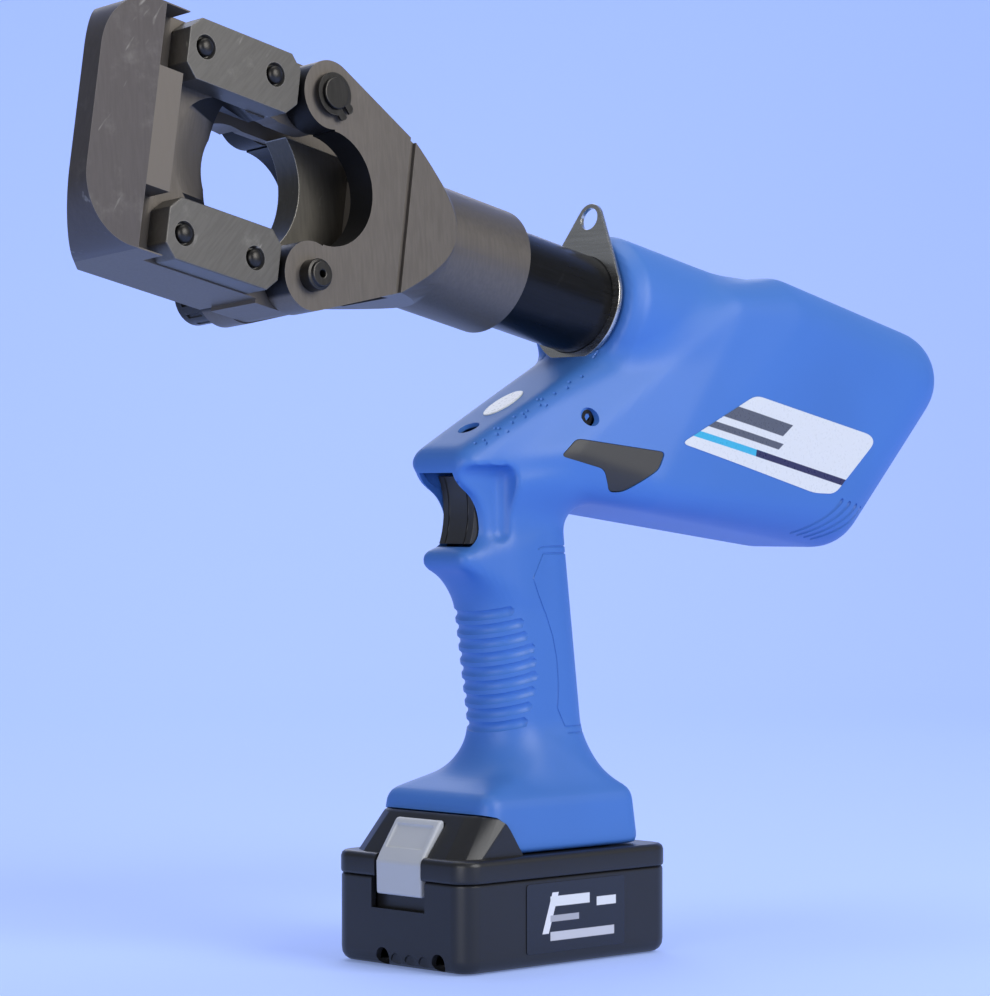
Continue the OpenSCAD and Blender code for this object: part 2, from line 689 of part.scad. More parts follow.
// ---- Ram and moving blade, in the head's frame ----
module ram() color(bright) head() difference() {
    union() {
        along_u(ram_tip, piston_front, rod_r);
        along_u(piston_front, piston_back, piston_r);
    }
    tube_u(124, 129, piston_r + 1, piston_r - 2.5);
}
module piston_seal() color(black) head() tube_u(124, 129, piston_r, piston_r - 2.5);
module blade_holder() color(steel) head() difference() {
    block([holder_front, -slot_h + 0.5, -blade_half + 1], [holder_back, slot_h - 0.5, blade_half - 1]);
    along_u(ram_tip, holder_back + 1, rod_r);
    block([holder_front - 1, moving_near, -30], [ram_tip - 1, moving_far, 30]);
    for (v = [-15, 15]) along_y(-20, 20, 2.5, -62, v);
}
module moving_blade() color(bright) head() difference() {
    slab(moving_near, moving_far) difference() {
        translate([edge_u - edge_sag, -blade_half]) square([ram_tip - 1 - edge_u + edge_sag, 2 * blade_half]);
        translate([edge_u - edge_r, 0]) circle(edge_r);
    }
    for (v = [-15, 15]) along_y(-20, 20, 2.5, -62, v);
}
module blade_bolts() color(dark) head() for (v = [-15, 15])
    along_y(-slot_h + 0.6, slot_h - 0.6, 2.45, -62, v);

// ---- Controls ----
module trigger() color(dark) difference() {
    block([trigger_front - 1, -trigger_w, trigger_lo], [trigger_back, trigger_w, trigger_hi]);
    translate([trigger_front - 33, 0, 179]) rotate([90, 0, 0]) cylinder(h = 60, r = 36, center = true);
}
// Its outer face is a plane that follows the housing's side
module release_button() color(dark) difference() {
    release_shape(0);
    translate([release_x[0], -24.3, release_z[1] - 7]) rotate([7.4, 0, -9.8]) block([-60, -60, -60], [100, 0, 60]);
    block([-20, -release_deep - 4, 170], [80, 0, 220]);
}
module hanging_ring() color(pale) barrel() difference() {
    translate([ring_u, 0, 0]) rotate([90, 0, 90]) linear_extrude(ring_t) teardrop(ring_out, tab_r, tab_v);
    along_u(ring_u - 1, ring_u + ring_t + 1, tube_r + run_c);
    along_u(ring_u - 1, ring_u + ring_t + 1, eye_r, tab_v);
}

// ---- Battery ----
module pack_block(lo, hi, inset = 0) {
    r = 8 - inset;
    x = pack_l / 2 - inset - r;
    y = pack_w / 2 - inset - r;
    for (sx = [-1, 1], sy = [-1, 1]) translate([sx * x, sy * y, lo]) cylinder(h = hi - lo, r = r);
    block([-x - r, -y, lo], [x + r, y, hi]);
    block([-x, -y - r, lo], [x, y + r, hi]);
}
module battery_lower_case() color(black) difference() {
    union() {
        difference() {
            pack_block(0, seam_z);
            pack_block(case_t, seam_z + 1, case_t);
        }
        block([-pack_l / 2 + 1, -button_w - 2, 20], [-pack_l / 2 + 6.5, button_w + 2, seam_z]);
    }
    block([-pack_l / 2 - 5, -button_w - gap, 23.2], [-pack_l / 2 + 4.8, button_w + gap, seam_z + 1]);
    for (x = [-1, 1], y = [-1, 1]) translate([x * (pack_l / 2 - 6.5), y * (pack_w / 2 - 6.5), -1])
        cylinder(h = 5, r = 2.6);
}
module shoulder() {
    front = -pack_l / 2 + 1.5;
    slab(-shoulder_w, shoulder_w) polygon([[front, rim_z - 1], [foot_front - gap - 1.2, shoulder_z],
        [foot_front - gap, shoulder_z], [foot_front - gap, rim_z - 1]]);
}
module battery_upper_case() color(black) difference() {
    union() {
        pack_block(seam_z, rim_z);
        shoulder();
        block([foot_front - gap - 1, -deck_in, rim_z - 1], [deck_back, deck_in, deck_top]);
        block([foot_front - gap - 1, -deck_out, deck_z], [deck_back, deck_out, deck_top]);
    }
    pack_block(seam_z - 1, rim_z - case_t, case_t);
    block([-pack_l / 2 - 5, -button_w - gap, 22], [foot_front - 3, button_w + gap, 70]);
    block([foot_front - 4, -8 - gap, 36], [foot_front + 4, 8 + gap, 70]);
    for (y = [-14, 0, 14]) block([6, y - 3, 45], [deck_back + 1, y + 3, deck_top + 1]);
}
module battery_cells() color([0.2, 0.5, 0.35]) for (k = [-2 : 2], z = [cell_low, cell_low + cell_pitch])
    along_y(-cell_len / 2, cell_len / 2, cell_r, k * cell_pitch + 3, z);
module cell_straps() color(bright) both_y() for (k = [-1.5, 0.5]) for (z = [cell_low])
    block([k * cell_pitch + 3 - 12, cell_len / 2, z - 4], [k * cell_pitch + 3 + 12, cell_len / 2 + 0.3, z + cell_pitch + 4]);
module battery_board() color(board) block([4, -20, rim_z - case_t - 1.5], [40, 20, rim_z - case_t - 0.3]);
module battery_contacts() color(copper) for (y = [-14, 0, 14], s = [-1, 1])
    block([12, y + s * 1.9 - 0.4, 45], [32, y + s * 1.9 + 0.4, 52]);
module battery_label() color(dark) slab(-pack_w / 2 - 0.3, -pack_w / 2)
    polygon([[-25, 5.5], [-25, 33], [30, 33], [30, 5.5]]);
module battery_screws() color(bright) for (x = [-1, 1], y = [-1, 1])
    translate([x * (pack_l / 2 - 6.5), y * (pack_w / 2 - 6.5), 1.6]) cylinder(h = 2.2, r = 2.5);
module battery_button() color(pale) slab(-button_w, button_w) polygon([
    [-pack_l / 2 + 1, 29], [-pack_l / 2 + 1, rim_z - 1], [foot_front - 5.5, shoulder_z - 3],
    [foot_front - 3.5, shoulder_z - 3], [foot_front - 3.5, 46], [foot_front - 8.5, 46], [-pack_l / 2 + 4, 40],
    [-pack_l / 2 + 4, 29]]);
module button_spring() color(bright) translate([-46, 0, 40.6]) coil(2.5, 0.4, 5, 3, 10, 5);

housing_left();
housing_right();
housing_screws();
side_label_left();
side_label_right();
inspection_badge();
led_lens();
trigger_switch();
trigger_spring();
release_switch();
release_spring();
control_board();
terminal_block();
wire_harness();
motor_can();
gearbox_case();
pump_block();
plunger_spring();
cam_bushes();
relief_valve();
oil_bladder();
motor_rotor();
cooling_fan();
motor_pinion();
camshaft();
cam_bearing();
drive_gear();
pump_plunger();
cylinder_tube();
yoke();
hinge_pin();
hinge_circlips();
ram_spring();
rod_wiper();
front_frame();
fixed_blade();
guide_plate_upper();
guide_plate_lower();
plate_screws();
latch_pin();
latch_knob();
ram();
piston_seal();
blade_holder();
moving_blade();
blade_bolts();
trigger();
release_button();
hanging_ring();
battery_lower_case();
battery_upper_case();
battery_cells();
cell_straps();
battery_board();
battery_contacts();
battery_label();
battery_screws();
battery_button();
button_spring();
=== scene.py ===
"""Looks of a battery-powered hydraulic cutter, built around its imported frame."""
import json
import logging
import math
from dataclasses import dataclass, field
from enum import Enum
from typing import Iterable, Sequence

import bmesh
import bpy
import numpy as np
from mathutils import Matrix, Vector
from mathutils.bvhtree import BVHTree


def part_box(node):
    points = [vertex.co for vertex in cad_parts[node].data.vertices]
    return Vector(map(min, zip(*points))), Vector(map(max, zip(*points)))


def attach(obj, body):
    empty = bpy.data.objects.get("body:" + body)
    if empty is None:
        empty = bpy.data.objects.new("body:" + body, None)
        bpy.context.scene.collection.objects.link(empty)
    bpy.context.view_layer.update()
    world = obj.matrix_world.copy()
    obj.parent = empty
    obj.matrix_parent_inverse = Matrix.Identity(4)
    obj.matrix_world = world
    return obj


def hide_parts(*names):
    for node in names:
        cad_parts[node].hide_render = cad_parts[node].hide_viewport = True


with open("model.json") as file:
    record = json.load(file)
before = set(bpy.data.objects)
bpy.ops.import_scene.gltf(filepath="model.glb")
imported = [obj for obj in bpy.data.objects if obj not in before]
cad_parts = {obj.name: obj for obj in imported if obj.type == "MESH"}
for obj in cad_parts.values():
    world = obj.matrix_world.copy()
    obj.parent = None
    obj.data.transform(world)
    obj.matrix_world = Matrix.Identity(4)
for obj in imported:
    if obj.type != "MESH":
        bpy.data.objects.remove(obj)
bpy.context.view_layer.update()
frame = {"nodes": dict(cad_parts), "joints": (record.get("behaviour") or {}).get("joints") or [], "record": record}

MM = 0.001
log = logging.getLogger("cutter")


# ---- Shader maths ----
class Socket:
    """A node's output that Python arithmetic works on; each operation adds a Math node."""

    def __init__(self, paint: "Paint", link: bpy.types.NodeSocket) -> None:
        """Wraps a socket.

        Args:
            paint: the material that the socket is in.
            link: the output socket.
        """
        self.paint = paint
        self.link = link

    def math(self, operation: str, *others: "Number") -> "Socket":
        """Adds one Math node.

        Args:
            operation: the Math node's operation.
            others: its second and third values.

        Returns:
            The node's value.
        """
        return self.paint.math(operation, self, *others)

    def __add__(self, other: "Number") -> "Socket":
        """Sum."""
        return self.math("ADD", other)

    def __sub__(self, other: "Number") -> "Socket":
        """Difference."""
        return self.math("SUBTRACT", other)

    def __rsub__(self, other: float) -> "Socket":
        """Difference from a number."""
        return self.paint.math("SUBTRACT", other, self)

    def __mul__(self, other: "Number") -> "Socket":
        """Product."""
        return self.math("MULTIPLY", other)

    def __truediv__(self, other: "Number") -> "Socket":
        """Quotient."""
        return self.math("DIVIDE", other)

    def __pow__(self, other: "Number") -> "Socket":
        """Power."""
        return self.math("POWER", other)

    __radd__ = __add__
    __rmul__ = __mul__

    def clamp(self) -> "Socket":
        """Limits the value to 0 to 1."""
        return self.math("MINIMUM", 1.0).math("MAXIMUM", 0.0)

    def step(self, low: float, high: float) -> "Socket":
        """Rises smoothly from 0 at low to 1 at high.

        Args:
            low: where the step starts.
            high: where it ends.

        Returns:
            The step's value.
        """
        return self.paint.value("ShaderNodeMapRange", "Result", {"interpolation_type": "SMOOTHSTEP"},
                                {"Value": self, "From Min": low, "From Max": high})


Number = Socket | float
Colour = tuple[float, float, float]


class Paint:
    """One material and the nodes in it."""

    def __init__(self, name: str) -> None:
        """Starts an empty principled material.

        Args:
            name: the material's name.
        """
        self.material = bpy.data.materials.new(name)
        self.material.use_nodes = True
        self.tree = self.material.node_tree
        self.shader = self.tree.nodes["Principled BSDF"]
        coordinates = self.tree.nodes.new("ShaderNodeTexCoord")
        self.place = Socket(self, coordinates.outputs["Object"])

    def feed(self, target: bpy.types.NodeSocket, value: object) -> None:
        """Links a Socket to an input, or sets a constant on it.

        Args:
            target: the input.
            value: a Socket, number, colour or vector.
        """
        if isinstance(value, Socket):
            self.tree.links.new(value.link, target)
        elif isinstance(value, tuple) and len(value) == 3 and target.type == "RGBA":
            target.default_value = (*value, 1.0)
        else:
            target.default_value = value

    def node(self, kind: str, settings: dict[str, object] | None = None,
             inputs: dict[str | int, object] | None = None) -> bpy.types.Node:
        """Adds any node.

        Args:
            kind: the node's type.
            settings: its own settings, set first.
            inputs: values or links of its sockets, by name or number.

        Returns:
            The node.
        """
        made = self.tree.nodes.new(kind)
        for key, value in (settings or {}).items():
            setattr(made, key, value)
        for key, value in (inputs or {}).items():
            self.feed(made.inputs[key], value)
        return made

    def value(self, kind: str, output: str | int, settings: dict[str, object] | None = None,
              inputs: dict[str | int, object] | None = None) -> Socket:
        """Adds a node and takes one of its outputs.

        Args:
            kind: the node's type.
            output: the output's name or number.
            settings: its own settings.
            inputs: values or links of its sockets.

        Returns:
            The output.
        """
        return Socket(self, self.node(kind, settings, inputs).outputs[output])

    def math(self, operation: str, *values: Number) -> Socket:
        """Adds a Math node on the given values."""
        return self.value("ShaderNodeMath", 0, {"operation": operation}, dict(enumerate(values)))

    def along(self, axis: Sequence[float]) -> Socket:
        """Distance of a point along an axis, in metres."""
        return self.value("ShaderNodeVectorMath", "Value", {"operation": "DOT_PRODUCT"},
                          {0: self.place, 1: tuple(axis)})

    def stretched(self, axis: Sequence[float], factor: float) -> Socket:
        """The place with its part along an axis scaled, for grain that runs one way.

        Args:
            axis: unit direction.
            factor: what the part along the axis is multiplied by.

        Returns:
            The new coordinates.
        """
        part = self.value("ShaderNodeVectorMath", 0, {"operation": "SCALE"},
                          {0: tuple(axis), "Scale": self.along(axis) * (factor - 1.0)})
        return self.value("ShaderNodeVectorMath", 0, {"operation": "ADD"}, {0: self.place, 1: part})

    def noise(self, scale: float, detail: float = 3.0, rough: float = 0.55,
              at: Socket | None = None) -> Socket:
        """Noise over the surface.

        Args:
            scale: features per metre.
            detail: octaves.
            rough: weight of the finer octaves.
            at: coordinates, the place itself by default.

        Returns:
            A value about 0.5.
        """
        return self.value("ShaderNodeTexNoise", "Fac", None,
                          {"Vector": at or self.place, "Scale": scale, "Detail": detail, "Roughness": rough})

    def mix(self, factor: Number, low: Colour | Socket, high: Colour | Socket) -> Socket:
        """Mixes two colours.

        Args:
            factor: 0 for low, 1 for high.
            low: first colour.
            high: second colour.

        Returns:
            The mixed colour.
        """
        return self.value("ShaderNodeMix", 2, {"data_type": "RGBA"}, {0: factor, 6: low, 7: high})

    def edges(self, radius: float, gain: float) -> Socket:
        """Mask of the piece's edges, from how far a rounded normal leaves the true one.

        Args:
            radius: how far from the edge the mask reaches, in metres.
            gain: how strongly it shows.

        Returns:
            0 on flats, up to 1 on edges.
        """
        round_normal = self.value("ShaderNodeBevel", 0, {"samples": 4}, {"Radius": radius})
        true_normal = self.value("ShaderNodeNewGeometry", "Normal")
        agree = self.value("ShaderNodeVectorMath", "Value", {"operation": "DOT_PRODUCT"},
                           {0: round_normal, 1: true_normal})
        return ((1.0 - agree) * gain).clamp()

    def bump(self, height: Socket, depth: float, strength: float = 1.0) -> None:
        """Feeds the shader's normal from a height.

        Args:
            height: 0 to 1.
            depth: what a height of 1 stands for, in metres.
            strength: share of the effect.
        """
        made = self.value("ShaderNodeBump", 0, None,
                          {"Strength": strength, "Distance": depth, "Height": height})
        self.feed(self.shader.inputs["Normal"], made)

    def set(self, **inputs: object) -> "Paint":
        """Sets the shader's sockets; an underscore stands for a space."""
        for key, value in inputs.items():
            self.feed(self.shader.inputs[key.replace("_", " ")], value)
        return self


# ---- Finishes ----
BARE_STEEL: Colour = (0.150, 0.130, 0.108)
# Near black painted on the walls of the hole through the head as painted shade.
HOLLOW_SHADE: Colour = (0.012, 0.0115, 0.012)
WHITE: Colour = (1.0, 1.0, 1.0)


@dataclass(frozen=True)
class Plastic:
    """Moulded plastic with a fine spark-eroded grain."""

    colour: Colour
    rough: float = 0.45
    grain: float = 1600.0
    depth: float = 0.00004
    vary: float = 0.06

    def make(self, name: str) -> bpy.types.Material:
        """Builds the material."""
        paint = Paint(name)
        broad = paint.noise(9.0, 2.0)
        fine = paint.noise(self.grain, 2.0)
        dim = tuple(c * (1.0 - self.vary) for c in self.colour)
        lit = tuple(min(1.0, c * (1.0 + self.vary)) for c in self.colour)
        paint.set(Base_Color=paint.mix(broad.step(0.35, 0.65), dim, lit),
                  Roughness=self.rough - 0.04 + fine * 0.08)
        paint.bump(fine, self.depth, 0.5)
        return paint.material


@dataclass(frozen=True)
class Steel:
    """Machined or blackened steel with grain, faint scratches and worn edges.

    The hollow is a hole through the head, given by its place along the head and its radius in millimetres,
    whose walls are painted near black as painted shade, the shade that lies deep in the hole. The land is
    the place along the head past which the steel is bare.
    """

    colour: Colour
    worn: Colour
    rough: float = 0.42
    metal: float = 0.85
    scratch: float = 0.25
    patch: float = 0.25
    edge: float = 0.5
    grain_axis: tuple[float, float, float] = (0.0, 0.0, 1.0)
    hollow: tuple[float, float] = (0.0, 0.0)
    land: float = 0.0

    def inside(self, paint: Paint) -> Socket:
        """Mask of the painted shade on the hollow's walls, which are the faces in it that don't face sideways."""
        centre, radius = self.hollow
        ahead = HEAD.measure(paint, HEAD.x) - centre
        above = HEAD.measure(paint, HEAD.z)
        near = 1.0 - (ahead * ahead + above * above).step((radius - 1) ** 2, (radius + 1) ** 2)
        normal = paint.value("ShaderNodeNewGeometry", "Normal")
        facing = paint.value("ShaderNodeVectorMath", "Value", {"operation": "DOT_PRODUCT"},
                             {0: normal, 1: HEAD.y})
        return near * (1.0 - (facing * facing).step(0.75, 0.9))

    def make(self, name: str) -> bpy.types.Material:
        """Builds the material."""
        paint = Paint(name)
        grain = paint.noise(900.0, 3.0, 0.6, paint.stretched(self.grain_axis, 0.06))
        blotch = paint.noise(55.0, 5.0, 0.65)
        marks = paint.noise(260.0, 2.0, 0.5, paint.stretched((0.6, 0.3, 0.74), 0.05))
        lines = (marks.step(0.66, 0.74) * blotch.step(0.42, 0.6)) * self.scratch
        wear = lines + blotch.step(0.55, 0.85) * self.patch
        if self.edge > 0:
            wear = wear + paint.edges(0.0007, 3.0) * self.edge
        shade = paint.mix(grain.step(0.3, 0.7), tuple(c * 0.86 for c in self.colour), self.colour)
        coat = paint.mix(wear.clamp(), shade, self.worn)
        if self.land < 0:
            bare = HEAD.measure(paint, HEAD.x).step(self.land - 0.2, self.land + 0.2)
            coat = paint.mix(bare, coat, BARE_STEEL)
        # Painted shade: the walls of the hole through the head are coloured near black, for the shade deep inside
        # it.
        if self.hollow[1] > 0:
            coat = paint.mix(self.inside(paint), coat, HOLLOW_SHADE)
        paint.set(Base_Color=coat, Metallic=self.metal, Roughness=self.rough - 0.07 + grain * 0.14)
        paint.bump(grain * 0.7 + marks * 0.3, 0.00003, 0.4)
        return paint.material


@dataclass(frozen=True)
class Clear:
    """Clear moulded lens."""

    colour: Colour = (0.85, 0.9, 0.95)

    def make(self, name: str) -> bpy.types.Material:
        """Builds the material."""
        paint = Paint(name)
        swirl = paint.noise(300.0, 2.0)
        paint.shader.inputs["Transmission Weight"].default_value = 0.7
        paint.set(Base_Color=paint.mix(swirl, self.colour, WHITE), Roughness=0.05 + swirl * 0.05)
        return paint.material


# ---- Frames and meshes, all in millimetres until a piece is made ----
@dataclass(frozen=True)
class Axes:
    """A right-handed frame of the tool: its origin and its three directions."""

    origin: tuple[float, float, float]
    x: tuple[float, float, float]
    y: tuple[float, float, float]

    @property
    def z(self) -> np.ndarray:
        """Third direction, square to the other two."""
        return np.cross(self.x, self.y)

    def measure(self, paint: Paint, way: Sequence[float]) -> Socket:
        """Place of a surface's points along one of the frame's directions.

        Args:
            paint: the surface's material.
            way: the direction.

        Returns:
            The place from the frame's origin, in millimetres.
        """
        return (paint.along(way) - float(np.dot(way, self.origin)) * MM) / MM

    def world(self, points: object) -> np.ndarray:
        """Carries points of this frame into the tool's frame.

        Args:
            points: rows of three numbers, in millimetres.

        Returns:
            The same points in the tool's frame.
        """
        turn = np.array([self.x, self.y, self.z])
        return np.asarray(points, float).reshape(-1, 3) @ turn + np.array(self.origin)


def joint_axes(pivot: str, side: str) -> Axes:
    """Frame along a hinge's axis.

    Args:
        pivot: joint whose place and axis give the origin and x.
        side: joint whose axis gives y, or "" for the tool's own y.

    Returns:
        The frame.
    """
    joints = {joint["name"]: joint for joint in frame["joints"]}
    origin = tuple(value / MM for value in joints[pivot]["pos_m"])
    return Axes(origin, tuple(joints[pivot]["axis"]), tuple(joints[side]["axis"]) if side else TOOL.y)


TOOL = Axes((0.0, 0.0, 0.0), (1.0, 0.0, 0.0), (0.0, 1.0, 0.0))
BARREL = joint_axes("head_turn", "")
HEAD = joint_axes("head_turn", "latch_swing")


def turn_points(count: int, radius: float = 1.0, start: float = 0.0, sweep: float = 360.0) -> np.ndarray:
    """Points round a circle or an arc of one, in its own plane."""
    share = np.arange(count) / (count if sweep == 360.0 else count - 1)
    angle = np.radians(start + sweep * share)
    return radius * np.stack([np.cos(angle), np.sin(angle)], 1)


def ball(centre: Sequence[float], radius: float, count: int = 28) -> np.ndarray:
    """Points over a sphere."""
    rows = [np.array([[0.0, 0.0, radius], [0.0, 0.0, -radius]])]
    for tilt in np.radians(np.linspace(-90, 90, count // 2 + 1)[1:-1]):
        ring = turn_points(count, radius * math.cos(tilt))
        rows.append(np.column_stack([ring, np.full(count, radius * math.sin(tilt))]))
    return np.vstack(rows) + np.array(centre)


def disc(centre: Sequence[float], radius: float, axis: int = 2, count: int = 48) -> np.ndarray:
    """Points round a flat disc that is square to one of the frame's axes."""
    flat = turn_points(count, radius)
    return np.insert(flat, axis, 0.0, axis=1) + np.array(centre)


def rounded(corners: Sequence[Sequence[float]], radius: float, count: int = 6) -> np.ndarray:
    """Rounds the corners of a flat outline.

    Args:
        corners: points round the outline.
        radius: how far from each corner its curve starts.
        count: points on each curve.

    Returns:
        The outline's points.
    """
    points = np.asarray(corners, float)
    made = []
    for i, corner in enumerate(points):
        back, ahead = points[i - 1] - corner, points[(i + 1) % len(points)] - corner
        first = corner + back * min(0.45, radius / np.linalg.norm(back))
        last = corner + ahead * min(0.45, radius / np.linalg.norm(ahead))
        for t in np.linspace(0, 1, count):
            made.append((1 - t) ** 2 * first + 2 * t * (1 - t) * corner + t ** 2 * last)
    return np.array(made)


def mesh_object(name: str, points: np.ndarray, faces: Iterable[Sequence[int]]) -> bpy.types.Object:
    """Makes an object from points in millimetres.

    Args:
        name: the object's name.
        points: its points, in the tool's frame.
        faces: rows of point numbers.

    Returns:
        The object, linked to the scene.
    """
    mesh = bpy.data.meshes.new(name)
    mesh.from_pydata((np.asarray(points) * MM).tolist(), [], [list(map(int, face)) for face in faces])
    mesh.update()
    made = bpy.data.objects.new(name, mesh)
    bpy.context.scene.collection.objects.link(made)
    return made


def tidy(made: bpy.types.Object, merge: float = 0.0) -> bpy.types.Object:
    """Merges close points and turns the faces outward.

    Args:
        made: the object.
        merge: merging distance in millimetres.

    Returns:
        The same object.
    """
    work = bmesh.new()
    work.from_mesh(made.data)
    if merge:
        bmesh.ops.remove_doubles(work, verts=work.verts, dist=merge * MM)
    bmesh.ops.recalc_face_normals(work, faces=work.faces)
    work.to_mesh(made.data)
    work.free()
    return made


def hull_object(name: str, points: np.ndarray) -> bpy.types.Object:
    """Convex solid round the given points."""
    work = bmesh.new()
    for point in np.asarray(points) * MM:
        work.verts.new(point)
    found = bmesh.ops.convex_hull(work, input=work.verts)
    bmesh.ops.delete(work, geom=list(set(found["geom_interior"] + found["geom_unused"])), context="VERTS")
    mesh = bpy.data.meshes.new(name)
    work.to_mesh(mesh)
    work.free()
    made = bpy.data.objects.new(name, mesh)
    bpy.context.scene.collection.objects.link(made)
    return tidy(made)


def loft(name: str, rings: Sequence[np.ndarray]) -> bpy.types.Object:
    """Solid through rings that have the same number of points, closed at both ends."""
    count, last = len(rings[0]), (len(rings) - 1) * len(rings[0])
    faces = [[row + k, row + (k + 1) % count, row + count + (k + 1) % count, row + count + k]
             for row in range(0, last, count) for k in range(count)]
    faces += [range(count), range(last, last + count)]
    return tidy(mesh_object(name, np.vstack(rings), faces))


def prism(name: str, outline: np.ndarray, low: float, high: float, axes: Axes = TOOL) -> bpy.types.Object:
    """Outline in the frame's x and z, run along its y from low to high."""
    return loft(name, [axes.world(np.insert(outline, 1, y, axis=1)) for y in (low, high)])


def rectangle(low: Sequence[float], high: Sequence[float]) -> np.ndarray:
    """Outline of a rectangle between two corners."""
    return np.array([low, (high[0], low[1]), high, (low[0], high[1])], float)


def turned(name: str, profile: Sequence[Sequence[float]], place: Sequence[float], axis: int,
           axes: Axes = TOOL, count: int = 64) -> bpy.types.Object:
    """Solid of revolution.

    Args:
        name: the object's name.
        profile: (distance along the axis, radius) from one end to the other.
        place: where the axis starts, in the frame.
        axis: which of the frame's axes it turns about.
        axes: the frame.
        count: points round it.

    Returns:
        The object.
    """
    rings = []
    for along, radius in profile:
        centre = np.array(place, float)
        centre[axis] += along
        rings.append(axes.world(disc(centre, max(radius, 0.01), axis, count)))
    return loft(name, rings)


def tube(name: str, path: np.ndarray, radius: float, sides: int = 10) -> bpy.types.Object:
    """Round bar along a path, with rounded ends.

    Args:
        name: the object's name.
        path: points in the tool's frame.
        radius: its radius.
        sides: points round it.

    Returns:
        The object.
    """
    ahead = np.gradient(path, axis=0)
    ahead /= np.linalg.norm(ahead, axis=1)[:, None]
    path = np.vstack([path[0] - ahead[0] * radius * 0.7, path, path[-1] + ahead[-1] * radius * 0.7])
    ahead = np.vstack([ahead[0], ahead, ahead[-1]])
    size = np.r_[radius * 0.5, np.full(len(path) - 2, radius), radius * 0.5]
    side = np.cross(ahead, [0.13, 0.21, 0.97])
    side /= np.linalg.norm(side, axis=1)[:, None]
    up = np.cross(ahead, side)
    ring = turn_points(sides)
    return loft(name, [point + reach * (ring[:, :1] * a + ring[:, 1:] * b)
                       for point, reach, a, b in zip(path, size, side, up)])


class Cut(Enum):
    """What a boolean does with the tool's volume."""

    REMOVE = "DIFFERENCE"
    ADD = "UNION"
    KEEP = "INTERSECT"


def freeze(made: bpy.types.Object) -> bpy.types.Object:
    """Applies the object's modifiers."""
    graph = bpy.context.evaluated_depsgraph_get()
    mesh = bpy.data.meshes.new_from_object(made.evaluated_get(graph))
    made.modifiers.clear()
    old, made.data = made.data, mesh
    bpy.data.meshes.remove(old)
    return made


def carve(made: bpy.types.Object, cutters: Iterable[bpy.types.Object],
          cut: Cut = Cut.REMOVE) -> bpy.types.Object:
    """Cuts an object with others, which are used up.

    Args:
        made: the object to cut.
        cutters: closed solids.
        cut: what to do with their volume.

    Returns:
        The object.
    """
    for cutter in cutters:
        step = made.modifiers.new("cut", "BOOLEAN")
        step.operation, step.solver, step.object = cut.value, "MANIFOLD", cutter
        freeze(made)
        bpy.data.objects.remove(cutter)
    return made


def smooth(made: bpy.types.Object, angle: float = 38.0) -> bpy.types.Object:
    """Shades an object smooth, with sharp edges past an angle in degrees."""
    mesh = made.data
    mesh.polygons.foreach_set("use_smooth", np.ones(len(mesh.polygons), bool))
    mesh.set_sharp_from_angle(angle=math.radians(angle))
    step = made.modifiers.new("normals", "WEIGHTED_NORMAL")
    step.keep_sharp, step.weight = True, 80
    return freeze(made)


def bevel(made: bpy.types.Object, width: float, segments: int = 3, angle: float = 30.0) -> bpy.types.Object:
    """Rounds an object's edges and applies it.

    Args:
        made: the object.
        width: width of the rounding in millimetres.
        segments: steps across it.
        angle: edges sharper than this are rounded.

    Returns:
        The object.
    """
    step = made.modifiers.new("edges", "BEVEL")
    step.width, step.segments, step.limit_method = width * MM, segments, "ANGLE"
    step.angle_limit, step.use_clamp_overlap, step.miter_outer = math.radians(angle), True, "MITER_ARC"
    return smooth(freeze(made))


def machined(node: str, name: str, width: float, segments: int = 2) -> bpy.types.Object:
    """Copy of a CAD node with merged faces and rounded edges.

    Args:
        node: the CAD node.
        name: the new piece's name.
        width: rounding of the edges in millimetres.
        segments: steps across it.

    Returns:
        The piece.
    """
    made = bpy.data.objects.new(name, frame["nodes"][node].data.copy())
    made.data.materials.clear()
    bpy.context.scene.collection.objects.link(made)
    work = bmesh.new()
    work.from_mesh(made.data)
    bmesh.ops.remove_doubles(work, verts=work.verts, dist=0.004 * MM)
    bmesh.ops.dissolve_limit(work, angle_limit=math.radians(1.2), verts=work.verts, edges=work.edges)
    work.to_mesh(made.data)
    work.free()
    if made.data.has_custom_normals:
        made.data.attributes.remove(made.data.attributes["custom_normal"])
    return bevel(made, width, segments)


